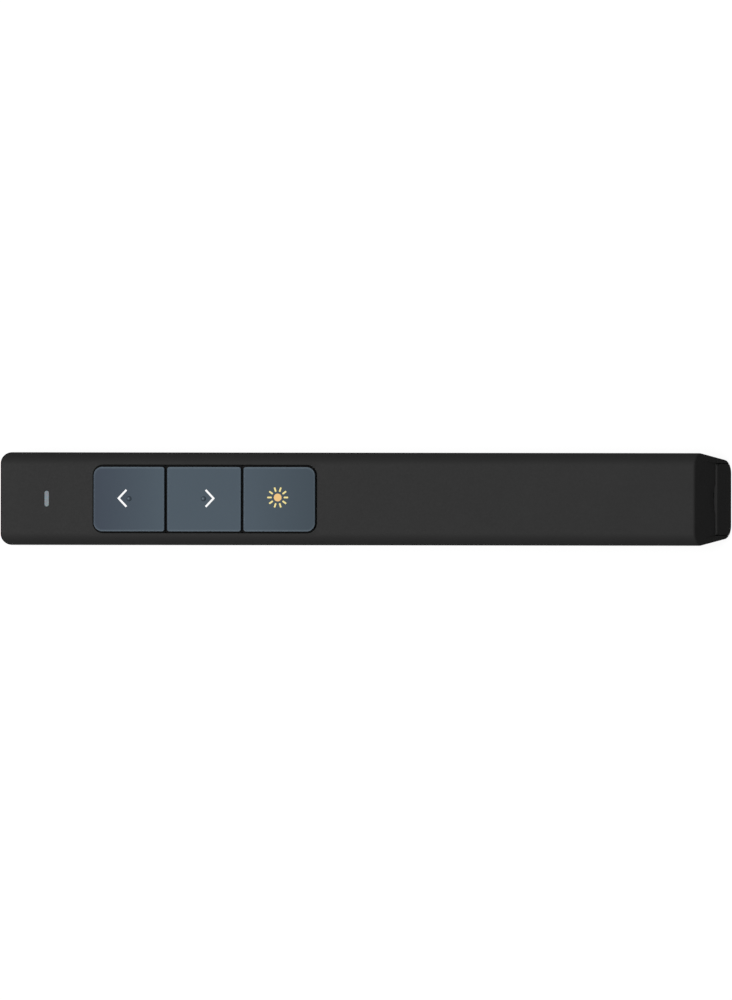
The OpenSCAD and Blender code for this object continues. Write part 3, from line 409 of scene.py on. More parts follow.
# Adds one node: settings are attributes or socket values, links are sockets fed by other nodes
def addNode(tree, kind, settings=None, links=None):
    node = tree.nodes.new(kind)
    for name, value in (settings or {}).items():
        if isinstance(name, str) and hasattr(node, name):
            setattr(node, name, value)
        else:
            node.inputs[name].default_value = value
    for name, source in (links or {}).items():
        tree.links.new(source, node.inputs[name])
    return node


def clearTree(owner):
    owner.use_nodes = True
    owner.node_tree.nodes.clear()
    return owner.node_tree


# A Principled material whose colour wanders a little, whose roughness varies, and whose surface is grained
def makeFinish(name, finish):
    material = bpy.data.materials.new(name)
    tree = clearTree(material)
    place = addNode(tree, "ShaderNodeTexCoord").outputs["Object"]
    stretch = addNode(tree, "ShaderNodeMapping", {
        "Scale": finish.get("stretch", (1, 1, 1))}, {"Vector": place})
    wander = addNode(tree, "ShaderNodeTexNoise", {
        "Scale": 1 / (finish["patchSize"] * mm), "Detail": 4.0, "Roughness": 0.6,
    }, {"Vector": place})
    colour = addNode(tree, "ShaderNodeMix", {
        "data_type": "RGBA", "A": linearOf(finish["dark"]), "B": linearOf(finish["light"]),
    }, {"Factor": wander.outputs["Fac"]})
    colour = colour.outputs[2]
    # layers lie over it: along an axis between two places, or where the piece's own attribute says
    for code, along, *reach in finish.get("layers", ()):
        if reach:
            axes = addNode(tree, "ShaderNodeSeparateXYZ", {}, {"Vector": place}).outputs
            fullAt, goneAt = reach
            cover = addNode(tree, "ShaderNodeMapRange", {
                "From Min": goneAt * mm, "From Max": fullAt * mm}, {"Value": axes[along]}).outputs["Result"]
        else:
            cover = addNode(tree, "ShaderNodeAttribute", {"attribute_name": along}).outputs["Fac"]
        colour = addNode(tree, "ShaderNodeMix", {"data_type": "RGBA", "B": linearOf(code)}, {
            "Factor": cover, "A": colour}).outputs[2]
    grain = addNode(tree, "ShaderNodeTexNoise", {
        "Scale": 1 / (finish["grainSize"] * mm), "Detail": finish.get("grainDetail", 2.0), "Roughness": 0.5,
    }, {"Vector": stretch.outputs["Vector"]})
    rough = addNode(tree, "ShaderNodeMapRange", {
        "From Min": 0.3, "From Max": 0.7, "To Min": finish["rough"][0], "To Max": finish["rough"][1],
    }, {"Value": grain.outputs["Fac"]})
    bump = addNode(tree, "ShaderNodeBump", {
        "Strength": finish["bump"], "Distance": finish["bumpDepth"] * mm,
    }, {"Height": grain.outputs["Fac"]})
    shader = addNode(tree, "ShaderNodeBsdfPrincipled", {
        "Metallic": finish.get("metallic", 0.0), "IOR": finish.get("ior", 1.5),
        "Specular IOR Level": finish.get("specular", 0.5),
        "Transmission Weight": finish.get("transmission", 0.0),
        "Coat Weight": finish.get("coat", 0.0), "Coat Roughness": 0.15,
        "Subsurface Weight": finish.get("inside", 0.0), "Subsurface Scale": 0.8 * mm,
    }, {"Base Color": colour, "Roughness": rough.outputs["Result"], "Normal": bump.outputs["Normal"]})
    addNode(tree, "ShaderNodeOutputMaterial", {}, {"Surface": shader.outputs["BSDF"]})
    return material


# Moulded ABS with a fine spark-eroded texture: nearly black, soft sheen, no clear reflection
caseAbs = makeFinish("mouldedAbsBlack", {
    "dark": "#282828", "light": "#2d2d2d", "patchSize": 9.0,
    "grainSize": 0.22, "grainDetail": 3.0, "rough": (0.52, 0.66), "bump": 0.25, "bumpDepth": 0.012,
    "ior": 1.53, "specular": 0.08,
})
# The keys are slate grey. Their rims and the crowns of their dots are lighter, which is painted highlight;
# the dots darken round their feet and the keys turn black below the rim, which is painted shade
keyPaint = makeFinish("slateKeysWithPaintedLight", {
    "dark": "#4b5761", "light": "#4f5b65", "patchSize": 14.0,
    "grainSize": 0.16, "rough": (0.5, 0.6), "bump": 0.12, "bumpDepth": 0.006, "ior": 1.53, "specular": 0.05,
    # darker towards both ends of the row, painted highlight on the rims and dot crowns, painted shade on the
    # dots, and black below the rim as painted shade in the gaps
    "layers": [
        ("#3f4753", "X", -51.5, -38.0), ("#434e57", "X", -9.6, -21.0), ("#69757f", "rim"),
        ("#39424a", "foot"), ("#040405", "Z", 13.9, 14.3),
    ],
})
# Pad-printed inks lie on the keys as thin satin films
ink = {"patchSize": 1.0, "grainSize": 0.08, "rough": (0.4, 0.5), "bump": 0.1, "bumpDepth": 0.003}
whiteInk = makeFinish("padPrintWhite", {**ink, "dark": "#f2f3f4", "light": "#fcfcfc", "patchSize": 1.5})
amberInk = makeFinish("padPrintAmber", {**ink, "dark": "#e4b25e", "light": "#ebbb6b"})
yellowInk = makeFinish("padPrintYellow", {**ink, "dark": "#e9d57c", "light": "#efdd88"})
# Milky acrylic of the light guide, unlit: grey, a little clear, satin
guideAcrylic = makeFinish("milkyAcrylic", {
    "dark": "#7b848a", "light": "#858f96", "patchSize": 1.2,
    "grainSize": 0.3, "rough": (0.5, 0.6), "bump": 0.05, "bumpDepth": 0.004, "ior": 1.49, "specular": 0.2,
    "inside": 0.3,
})
# Dark red acrylic that only lets the laser's colour out
acrylic = {"patchSize": 2.0, "grainSize": 0.5, "bumpDepth": 0.002, "ior": 1.49}
windowAcrylic = makeFinish("redAcrylic", {
    **acrylic, "dark": "#4a0d11", "light": "#5f1419",
    "rough": (0.04, 0.08), "bump": 0.03, "transmission": 0.35,
})
lensAcrylic = makeFinish("clearAcrylic", {
    **acrylic, "dark": "#dfeaf2", "light": "#eef5fa",
    "rough": (0.03, 0.06), "bump": 0.02, "transmission": 0.9,
})
# Nickel-plated spring steel: bright, with drawn lines along the strip
nickelSteel = makeFinish("nickelPlatedSteel", {
    "dark": "#a9acb0", "light": "#c2c4c7", "patchSize": 3.0, "metallic": 1.0, "stretch": (0.12, 1, 1),
    "grainSize": 0.05, "rough": (0.22, 0.36), "bump": 0.15, "bumpDepth": 0.002,
})
# Small board screws come blackened, with a thin oily film
blackenedSteel = makeFinish("blackOxideSteel", {
    "dark": "#1b1c1e", "light": "#26272a", "patchSize": 0.8, "metallic": 1.0,
    "grainSize": 0.08, "rough": (0.35, 0.5), "bump": 0.1, "bumpDepth": 0.002,
})
goldPlate = makeFinish("goldFlashedContact", {
    "dark": "#c79a3c", "light": "#d9b057", "patchSize": 0.8, "metallic": 1.0, "stretch": (0.15, 1, 1),
    "grainSize": 0.05, "rough": (0.16, 0.28), "bump": 0.1, "bumpDepth": 0.001,
})
turnedBrass = makeFinish("turnedBrass", {
    "dark": "#a5823f", "light": "#bb9650", "patchSize": 2.0, "metallic": 1.0, "stretch": (1, 0.1, 0.1),
    "grainSize": 0.06, "rough": (0.24, 0.36), "bump": 0.2, "bumpDepth": 0.002,
})
# Glass-fibre board under green solder mask: glossy, with the faint weave below
solderMask = makeFinish("solderMaskGreen", {
    "dark": "#174a30", "light": "#21603f", "patchSize": 0.7,
    "grainSize": 0.35, "rough": (0.25, 0.35), "bump": 0.1, "bumpDepth": 0.004, "coat": 0.3,
})
nylon = {"patchSize": 1.0, "grainSize": 0.1, "rough": (0.4, 0.5), "bump": 0.1, "bumpDepth": 0.003}
blackNylon = makeFinish("glassFilledNylon", {
    **nylon, "dark": "#171719", "light": "#202022", "rough": (0.5, 0.62), "bump": 0.2, "bumpDepth": 0.004,
})
knobAbs = makeFinish("sliderAbs", {
    "dark": "#262627", "light": "#2d2d2e", "patchSize": 2.0,
    "grainSize": 0.12, "rough": (0.42, 0.52), "bump": 0.15, "bumpDepth": 0.005, "ior": 1.53,
})
redNylon = makeFinish("redNylon", {**nylon, "dark": "#7f2821", "light": "#98362d"})
wirePvc = makeFinish("wirePvc", {
    "dark": "#8f1a1a", "light": "#aa2626", "patchSize": 0.8,
    "grainSize": 0.1, "rough": (0.3, 0.4), "bump": 0.1, "bumpDepth": 0.002,
})
epoxyLed = makeFinish("castEpoxy", {
    "dark": "#ddd9bd", "light": "#ece8cf", "patchSize": 0.5,
    "grainSize": 0.1, "rough": (0.2, 0.3), "bump": 0.05, "bumpDepth": 0.002, "inside": 0.2,
})
chipCeramic = makeFinish("firedCeramic", {
    "dark": "#94794d", "light": "#ae9364", "patchSize": 0.4,
    "grainSize": 0.08, "rough": (0.4, 0.55), "bump": 0.2, "bumpDepth": 0.003,
})
# Shrink sleeve of the cell: thin printed PVC, drawn tight and shiny
shrinkSleeve = makeFinish("shrinkSleevePvc", {
    "dark": "#2f5d49", "light": "#3f745d", "patchSize": 6.0,
    "grainSize": 0.8, "rough": (0.2, 0.3), "bump": 0.06, "bumpDepth": 0.01, "coat": 0.4,
})
whiteNylon = makeFinish("whiteNylon", {**nylon, "dark": "#dcdcd6", "light": "#eaeae6"})
print("materials ready")


# Rings inside the case that its outside is cast from
castRing = {
    "frontX": -65.6,
    "tailGap": 1.2,             # from the tail face
    "upperHalf": 7.0,
    "lowerHalf": 6.0,
    "radius": 0.2,              # of its corners
    "top": (-65.1, 59.5, 0.6),      # front, tail and corner radius of the ring for the top's flat
    "foot": (-66.6, 66.6, 0.6),     # and of the one for the underside's flat
}


# Upper half of the case
panel = {
    "cheek": 1.1,               # between the panel and the side wall, at every height
    "topZ": 10.8,
    "depth": 0.32,              # at the foot, along the body
    "scoopLength": 5.5,
    "scoopDepth": 0.32,
    "scoopHeight": 3.0,
    # how far its solid's points are behind the tail face, off the middle and under the parting line
    "solid": (0.6, 6.65, 0.05),
}


# The panel runs from its top line to a foot set inwards. The scoop deepens it towards the foot: across the
# body it is an arc, and it runs out at its own height.
def recessX(y, z):
    footX = tailAt(body["partingZ"]) - panel["depth"]
    share = (panel["topZ"] - z) / (panel["topZ"] - body["partingZ"])
    plane = tailAt(panel["topZ"]) + (footX - tailAt(panel["topZ"])) * share
    half, depth = panel["scoopLength"] / 2, panel["scoopDepth"]
    radius = (half ** 2 + depth ** 2) / (2 * depth)
    arc = depth - radius + np.sqrt(np.maximum(radius ** 2 - y ** 2, 0))
    lowness = np.clip(1 - (z - body["partingZ"]) / panel["scoopHeight"], 0, 1)
    inPanel = (np.abs(y) < sideAt(z) - panel["cheek"]) & (z < panel["topZ"])
    return np.where(inPanel, plane - np.maximum(arc, 0) * lowness, 1e3)


upper = {
    "corner": 22,
    "side": np.concatenate([
        np.linspace(-63.4, -9.2, 46), np.linspace(-8, 48.3, 46), np.linspace(49.5, 58, 8)]),
    "opening": (-50.46, -9.15, 6.29, 1.9, -0.035),     # key opening: ends, half width, corner radius, side
    "openingRound": (0.12, 14),                # its lip, and the points round a corner
    "openingPatch": (-51.9, -7.9, 6.85),       # the flat round both openings: ends, half width
    "light": (-59.4, -58.6, 1.45, 0.39, 0.0),  # status light's slot
    "lightRound": (0.05, 8),
    "beam": (7.2, 1.4, 0.16),                  # beam hole: height, radius, rounded lip
    "beamPatch": 2.3,                          # half width of the front's patch round it
    "knobSlot": (-33.22, -26.78, 5.08, 7.52),  # ends, floor and ceiling
    "panelEdge": 6.6,                          # where the tail's columns step down into the panel
    # its solid's walls at the key opening and the light, the beam hole, the tail panel and the knob's slot
    "walls": (
        ((-70, -6.4, 13.9), (60.4, 6.4, 20), (0, 0, 1)),
        ((-70, -3, -1), (-67.4, 3, 10), (-1, 0, 0)),
        ((60.6, -6.65, -1), (70, 6.65, 20), (1, 0, 0)),
        ((-33.3, -10, -1), (-26.7, -7, 7.6), (0, -1, 0)),
    ),
}
# places of the columns across the tail and the front, closer where the panel's edge and its scoop are
tailY = np.concatenate([
    [6.8, 6.7, 6.615, 6.585, 6.45], np.linspace(6.1, 3.1, 9), np.linspace(2.75, 0.11, 25),
])
frontY = np.concatenate([np.linspace(6.8, 2.9, 9), np.linspace(2.3, 0.23, 10)])
upper["tail"] = np.concatenate([-tailY, tailY[::-1]]) / tailY[0]
upper["front"] = np.concatenate([-frontY, frontY[::-1]]) / frontY[0]


# The ring part of the way from one level's measures to another's
def mixedRing(first, last, share, spread):
    front, tail, radius, half, tailHalf = (a + (b - a) * share for a, b in zip(first, last))
    return ringLoop(front, tail, half, radius, spread, tailHalf)


def castRow(origin, ways, elevation, field=bodyField):
    start = np.column_stack([origin[0], np.full(len(origin[0]), origin[1])])
    angle = math.radians(elevation)
    direction = np.column_stack([ways * math.cos(angle), np.full(len(ways), math.sin(angle))])
    return castOut(field, start, direction)


# How far the top lies under its flat where the rounded long edges have begun
def upperFall(y):
    past = np.maximum(np.abs(y) - topCentre[0], 0)
    return body["topRadius"] - np.sqrt(body["topRadius"] ** 2 - past ** 2)


# Columns of a ring on its long sides and between two places along the body
def inZone(ways, x, start, end):
    return (np.abs(ways[:, 1]) > 0.999) & (x > start) & (x < end)


# Loop along the first row, which steps down to the last row wherever a zone's columns are
def steppedLoop(rows, zone):
    starts, ends = zone & ~np.roll(zone, 1), zone & ~np.roll(zone, -1)
    picked = np.zeros(rows.shape, bool)
    picked[0], picked[-1] = ~zone, zone
    picked[:, starts | ends] = True
    return np.where(ends, rows[::-1], rows).T[picked.T]


# The ring at a height, level with the walls round it
def levelRing(z, half, spread, tailHalf=None):
    tail = tailAt(z) - castRing["tailGap"]
    return ringLoop(castRing["frontX"], tail, half, castRing["radius"], spread, tailHalf)


# Half width of the ring at the tail, whose columns follow the panel's edge
def panelRing(z):
    edgeY = sideAt(min(z, panel["topZ"])) - panel["cheek"]
    return castRing["radius"] + tailY[0] * edgeY / upper["panelEdge"]


def makeUpperCase():
    skin = Skin()
    rows = []
    arcZ = topCentre[1]
    # rows over the top's edge, closer where they cross the tail's crest and the front's edge
    elevations = np.concatenate([
        np.linspace(90, 76, 5), np.linspace(74.5, 60.5, 13), np.linspace(58, 52, 3),
        np.linspace(50.5, 39.5, 13), np.linspace(37, 3, 12),
    ])
    topRing = (*castRing["top"], topCentre[0], topCentre[0])
    wallRing = (
        castRing["frontX"], tailAt(arcZ) - castRing["tailGap"], castRing["radius"],
        castRing["upperHalf"], panelRing(arcZ))
    for elevation in elevations:
        loop, ways = mixedRing(topRing, wallRing, 1 - elevation / 90, upper)
        rows.append(castRow((loop, arcZ), ways, elevation))
    lip = body["partingZ"] + body["seamRound"]
    heights = np.concatenate([
        [arcZ, 11.2, panel["topZ"] + 0.01, panel["topZ"] - 0.01], np.linspace(10.3, 9.6, 3),
        np.linspace(9.0, 7.3, 6), np.linspace(7.1, lip, 14),
    ])
    for z in heights:
        loop, ways = levelRing(z, castRing["upperHalf"], upper, panelRing(z))
        onTail = ways[:, 0] > 0.999
        row = castRow((loop, z), ways, 0)
        row[onTail, 0] = np.minimum(row[onTail, 0], recessX(row[onTail, 1], z))
        rows.append(row)
    # lip at the seam: a quarter circle that turns inwards
    last = rows[-1]
    for angle in np.radians([30, 60, 90]):
        row = last.copy()
        row[:, :2] -= ways * body["seamRound"] * (1 - math.cos(angle))
        row[:, 2] = lip - body["seamRound"] * math.sin(angle)
        rows.append(row)
    grid = skin.add(np.stack(rows))

    # beam hole: the front's cells round it give way to a patch with a round hole
    keep = np.ones((len(rows) - 1, grid.shape[1]), bool)
    loopWays = levelRing(arcZ, castRing["upperHalf"], upper)[1]
    front = np.flatnonzero(loopWays[:, 0] < -0.999)
    ys = rows[-4][front, 1]
    first, final = (front[np.argmin(np.abs(ys - y))] for y in (upper["beamPatch"], -upper["beamPatch"]))
    top = len(elevations) + 6                      # the row at height 9.6
    bottom = len(elevations) + len(heights) - 1    # the row at the lip
    keep[top:bottom, first:final] = False

    # round the key opening the cells give way too, as far as the start of the rounded long edges
    start, end, patchHalf = upper["openingPatch"]
    zone = inZone(loopWays, rows[0][:, 0], start, end)
    zoneRow = np.flatnonzero(np.abs(np.stack(rows)[:, np.flatnonzero(zone)[0], 1]) > patchHalf)[0]
    keep[:zoneRow, zone & np.roll(zone, -1)] = False
    skin.weave(grid, keep=keep)
    outer = np.concatenate([
        grid[top, first:final + 1], grid[top + 1:bottom + 1, final],
        grid[bottom, first:final][::-1], grid[top + 1:bottom, first][::-1],
    ])
    z0, radius, lipRound = upper["beam"]
    turn = fullTurn(48)
    ring = []
    for angle in np.radians([90, 68, 45, 22, 0]):
        r = radius + lipRound * (1 - math.cos(angle))
        x = body["frontX"] + lipRound * (1 - math.sin(angle))
        ring.append(np.column_stack([np.full(len(turn), x), r * np.cos(turn), z0 + r * np.sin(turn)]))
    ring.append(ring[-1] + np.array([0.15, 0, 0]))
    hole = skin.add(np.stack(ring))
    skin.fill(outer, [hole[0]], axes=(1, 2), flip=True)
    skin.weave(hole)

    # top, with the key opening and the status light's slot let in
    rim = steppedLoop(grid[:zoneRow + 1], zone)
    holes = []
    for opening in ("opening", "light"):
        x0, x1, half, radius, side = upper[opening]
        lipRound, steps = upper[opening + "Round"]
        ring = []
        for angle, wider in ((90, 0.05), (90, 0), (68, 0), (45, 0), (22, 0), (0, 0)):
            bend = math.radians(angle)
            out = lipRound * (1 - math.cos(bend)) + wider
            plan = plateLoop(x0, x1, half, radius, radius, -out, steps) + np.array([0, side])
            sunk = lipRound * (1 - math.sin(bend))
            ring.append(lift(plan, body["height"] - sunk - upperFall(plan[:, 1])))
        ring.append(ring[-1] - np.array([0, 0, 0.2]))
        walls = skin.add(np.stack(ring))
        skin.weave(walls)
        holes.append(walls[0])
    skin.fill(rim, holes)

    x0, x1, z0, z1 = upper["knobSlot"]
    cutAway(skin, (x0, -9, z0), (x1, -6, z1))
    skin.thicken(-gradientOf(bodyField, skin.points) * body["filmDepth"])
    return skin


def inBox(points, low, high):
    return ((points > low) & (points < high)).all(1)


# Draws a CAD solid's outer points inwards, so that it lies just under its smooth skin. The field says how
# far out a point is. Each of the walls is a box of points round an opening, and the way out for all of them
def drawnIn(node, field, walls=(), also=None):
    core = skinOf(node)
    points = core.points
    depth = field(points)
    onSkin = depth > -body["skinMargin"]
    if also is not None:
        onSkin |= also(points)
    outward = gradientOf(field, points)
    travel = body["coreDepth"] + np.maximum(depth, 0)
    for low, high, way in walls:
        outward[inBox(points, low, high)] = way
        travel[inBox(points, low, high)] = body["coreDepth"]
    core.points = np.where(onSkin[:, None], points - outward * travel[:, None], points)
    return core


# Points of the solid on its tail panel or in its scoop
def onRecess(points):
    x, y, z = points.T
    behind, half, under = panel["solid"]
    level = (z < panel["topZ"]) & (z > body["partingZ"] - under)
    return (x > tailAt(z) - behind) & (np.abs(y) < half) & level


# Makes the piece that stands for a node
def finishPiece(name, skin, material, bodyName, node, sharp=32.0):
    piece = makePiece(name, skin, material, sharp)
    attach(piece, bodyName)
    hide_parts(node)
    return piece


upperSkin = makeUpperCase()
upperSkin.join(drawnIn("upper_case", bodyField, upper["walls"], onRecess))
finishPiece("upperShell", upperSkin, caseAbs, "case", "upper_case")
print("upper half done")


# Lower half of the case
lower = {
    "corner": 22,
    "side": upper["side"],
    "tail": np.linspace(-1, 1, 25),
    "front": np.linspace(-1, 1, 25),
    "door": (-8.4, 48.7, 6.15, 1.0),          # door's opening: ends, half width, corner radius
    "doorRound": 0.12,
    "doorPatch": (-9.21, 49.51, 6.42),        # the flat round it: ends, half width
    "bay": (61.4, 6.7),                       # receiver's bay: start, half width
    # where the skin gets its thickness straight up
    "flatFoot": ((-66.5, -6.72, -1), (70, 6.72, 0.9)),
    # its solid's walls at the bay, the knob's slot, and the underside with the door's opening
    "walls": (
        ((61.3, -6.75, -1), (70, 6.75, 20), (1, 0, 0)),
        ((-33.3, -10, 5.0), (-26.7, -7, 20), (0, -1, 0)),
        ((-66.5, -6.75, -1), (70, 6.75, 0.95), (0, 0, -1)),
    ),
}


# Height of the underside: flat in the middle, and the bottom arc past it
def undersideAt(y):
    past = np.maximum(np.abs(y) - bottomCentre[0], 0)
    return body["bottomRadius"] - np.sqrt(np.maximum(body["bottomRadius"] ** 2 - past ** 2, 0))


def makeLowerCase():
    skin = Skin()
    rows = []
    lip = body["partingZ"] - body["seamRound"]
    loop, ways = levelRing(lip, castRing["lowerHalf"], lower)
    first = castRow((loop, lip), ways, 0)
    for angle in np.radians([90, 60, 30]):
        row = first.copy()
        row[:, :2] -= ways * body["seamRound"] * (1 - math.cos(angle))
        row[:, 2] = lip + body["seamRound"] * math.sin(angle)
        rows.append(row)
    arcZ = bottomCentre[1]
    for z in np.linspace(lip, arcZ + 0.2, 8):
        loop, ways = levelRing(z, castRing["lowerHalf"], lower)
        rows.append(castRow((loop, z), ways, 0))
    half, footHalf = castRing["lowerHalf"], bottomCentre[0] - 0.02
    wallRing = (castRing["frontX"], tailAt(arcZ) - castRing["tailGap"], castRing["radius"], half, half)
    footRing = (*castRing["foot"], footHalf, footHalf)
    for share in np.linspace(0, 1, 31):
        loop, ways = mixedRing(wallRing, footRing, share, lower)
        rows.append(castRow((loop, arcZ), ways, -90 * share))
    points = np.stack(rows)
    grid = skin.add(points)

    # the cells round the door's opening give way to a patch fitted to its rounded corners
    start, end, patchHalf = lower["doorPatch"]
    zone = inZone(ways, points[-1][:, 0], start, end)
    zoneRow = np.flatnonzero(np.abs(points[:, np.flatnonzero(zone)[0], 1]) > patchHalf)[-1]
    keep = np.ones((len(rows) - 1, grid.shape[1]), bool)
    keep[zoneRow:, zone & np.roll(zone, -1)] = False
    skin.weave(grid, keep=keep)
    outer = steppedLoop(grid[zoneRow:][::-1], zone)
    x0, x1, half, radius = lower["door"]
    ring = []
    for angle in np.radians([90, 60, 30, 0]):
        inset = -lower["doorRound"] * (1 - math.cos(angle))
        plan = plateLoop(x0, x1, half, radius, radius, inset, 10, 1.2)
        ring.append(lift(plan, undersideAt(plan[:, 1]) + lower["doorRound"] * (1 - math.sin(angle))))
    ring.append(ring[-1] + np.array([0, 0, 0.2]))
    hole = skin.add(np.stack(ring))
    skin.weave(hole)
    skin.fill(outer, [hole[0]], flip=True)

    bayX, bayHalf = lower["bay"]
    cutAway(skin, (bayX, -bayHalf, -1), (70, bayHalf, 6))
    x0, x1, z0, z1 = upper["knobSlot"]
    cutAway(skin, (x0, -9, z0), (x1, -6, z1))
    inward = -gradientOf(bodyField, skin.points)
    inward[inBox(skin.points, *lower["flatFoot"])] = (0, 0, 1)
    skin.thicken(inward * body["filmDepth"])
    return skin


lowerSkin = makeLowerCase()
lowerSkin.join(drawnIn("lower_case", bodyField, lower["walls"]))
finishPiece("lowerShell", lowerSkin, caseAbs, "case", "lower_case")
print("lower half done")


# Keys
keys = {
    "topZ": 14.5,
    "lowZ": 11.6,
    "half": 5.95,
    "side": -0.075,             # the caps lie a little off the body's middle line
    # against the solids' ends
    "ends": {"previous": (-0.1, -0.04), "next": (0.0, 0.0), "laser": (0.0, -0.1)},
    "outerRadius": 1.6,         # corners at the ends of the row
    "innerRadius": 0.46,
    "rimWidth": 0.44,           # how far in the painted highlight on the rims reaches
    "edgeRound": 0.16,
    "flangeZ": (12.75, 13.1),   # a low flange that darkens the gaps: it blocks light, and its black below the rim is painted shade
    "flangeOut": 0.23,
    "flangeHalf": 5.99,
    "flangeSide": -0.035,
    "flangeCorner": 0.05,
    "dots": {"previous": (-0.06, 0.0), "next": (-0.1, 0.0), "laser": None},    # against the solids' middles
    "dotRadius": 0.46,
    "dotHeight": 0.2,
    "endHighlight": 0.35,             # how much of the long rims' painted highlight the rims at a key's ends get
    "crown": (-0.13, 0.04, 0.16),        # painted highlight on a dot: place, width of its edge
    "foot": (-0.1, 0.04, 0.18, 0.2),     # painted shade on a dot: middle, inner radius, width of its edge
}


def makeKey(x0, x1, frontRadius, rearRadius, hasDot, dotX, dotY):
    edge, topZ = keys["edgeRound"], keys["topZ"]

    def plan(points):
        moved = points - np.array([0, keys["side"], 0])
        return plateField(moved, x0, x1, keys["half"], frontRadius, rearRadius)

    def field(points):
        return blendMax(plan(points), points[..., 2] - topZ, edge)

    # rows run from the rim of the top over its rounded edge and down the skirt with its flange
    def loopAt(inset, z, half=keys["half"], side=keys["side"], radii=(frontRadius, rearRadius)):
        return lift(plateLoop(x0, x1, half, *radii, inset, 12, 1.0) + np.array([0, side]), z)

    skin = Skin()
    rows = [loopAt(inset, topZ) for inset in np.linspace(keys["rimWidth"], edge + 0.03, 4)]
    for angle in np.radians(np.linspace(90, 0, 8)):
        rows.append(loopAt(edge * (1 - math.cos(angle)), topZ - edge * (1 - math.sin(angle))))
    # the flange fills the opening more closely than the cap does, also at the inner corners
    lowFlange, topFlange = keys["flangeZ"]
    corners = [keys["flangeCorner"] if r == keys["innerRadius"] else r for r in (frontRadius, rearRadius)]
    flange = [
        loopAt(-keys["flangeOut"], z, keys["flangeHalf"], keys["flangeSide"], corners)
        for z in (topFlange - 0.02, lowFlange)]
    rows += [loopAt(0, topFlange), *flange, loopAt(0, lowFlange - 0.02), loopAt(0, keys["lowZ"])]
    grid = skin.add(np.stack(rows))
    skin.weave(grid)

    # the dot is half of a flattened ball, with a narrow flat collar round its foot
    collars = []
    if hasDot:
        height, radius = keys["dotHeight"], keys["dotRadius"]
        turn = fullTurn(32)
        rise = np.radians(np.linspace(0, 86, 10))
        r = np.append(radius + 0.04, radius * np.cos(rise))[:, None]
        z = np.append(topZ, topZ + height * np.sin(rise))[:, None]
        dotGrid = skin.add(np.stack([dotX + r * np.cos(turn), dotY + r * np.sin(turn), z + 0 * turn], -1))
        skin.weave(dotGrid, flip=True)
        skin.fill(dotGrid[-1])
        collars.append(dotGrid[0])
    skin.fill(grid[0], collars)
    skin.thicken(-gradientOf(field, skin.points) * body["filmDepth"])
    return skin, field, plan


for keyName in ("previous", "next", "laser"):
    node = keyName + "_key"
    low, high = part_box(node)
    front, rear = keys["ends"][keyName]
    shift = keys["dots"][keyName]
    dotX, dotY = np.array([(low[0] + high[0]) / 2 / mm, 0.0]) + (shift or (0.0, 0.0))
    skin, field, plan = makeKey(
        low[0] / mm + front, high[0] / mm + rear,
        keys["outerRadius"] if keyName == "previous" else keys["innerRadius"],
        keys["outerRadius"] if keyName == "laser" else keys["innerRadius"],
        shift is not None, dotX, dotY)
    skin.join(drawnIn(node, field))
    piece = finishPiece(keyName + "KeyCap", skin, keyPaint, node, node, 40)
    places = pointsOf(piece.data)
    # painted highlight on the rims, stronger on the long rims than on those at the keys' ends
    sideways = np.abs(gradientOf(plan, places)[:, 1])
    rimHighlightShare = keys["endHighlight"] + (1 - keys["endHighlight"]) * sideways
    rim = np.clip(1 + plan(places) / keys["rimWidth"], 0, 1) ** 1.5 * rimHighlightShare
    # painted highlight on the dot's crown, and painted shade on the dot that grows away from a point near its
    # middle
    east, north = places[:, 0] - dotX, places[:, 1] - dotY
    onDot = np.hypot(east, north) < keys["dotRadius"] + 0.02
    crownX, crownY, fade = keys["crown"]
    crown = np.clip(1.5 - np.hypot(east - crownX, north - crownY) / fade, 0, 1)
    footX, footY, inner, fade = keys["foot"]
    foot = np.where(onDot, np.clip((np.hypot(east - footX, north - footY) - inner) / fade, 0, 1), 0.0)
    rim = np.where(onDot, crown, rim)
    piece.data.attributes.new("rim", "FLOAT", "POINT").data.foreach_set("value", rim)
    piece.data.attributes.new("foot", "FLOAT", "POINT").data.foreach_set("value", foot)
print("keys done")


# Printed marks
marks = {
    "ink": 0.04,                # thickness of the ink
    "stroke": 0.36,
    "arrowHalf": 1.68,          # half height
    "arrowAngle": 47.0,         # each leg against the body's long axis
    "arrowTips": (-45.98, -27.98),
    "arrowSide": 0.08,          # the print sits a little off the keys' middle line
    "sunPlace": (-16.39, 0.26),
    "sunRadius": 0.715,
    "rays": (1.1, 1.935, 0.31, 10),   # start, end, width, count
}


# Outline with each corner of a polygon turned into an arc that starts at one radius from it
def softOutline(corners, radius, steps=5):
    corners = np.asarray(corners, float)
    back = np.roll(corners, 1, axis=0) - corners
    ahead = np.roll(corners, -1, axis=0) - corners
    back *= radius / np.linalg.norm(back, axis=1, keepdims=True)
    ahead *= radius / np.linalg.norm(ahead, axis=1, keepdims=True)
    t = np.linspace(0, 1, steps)[None, :, None]
    curve = corners[:, None] + back[:, None] * (1 - t) ** 2 + ahead[:, None] * t ** 2
    return curve.reshape(-1, 2)


# Flat closed piece of ink: the outline's top, its sides and its underside
def makeInk(outlines):
    skin = Skin()
    for outline in outlines:
        top = keys["topZ"] + marks["ink"]
        grid = skin.add(np.stack([lift(outline, top), lift(outline, keys["topZ"] - 0.02)]))
        skin.weave(grid)
        skin.fill(grid[0])
        skin.fill(grid[1], flip=True)
    return skin


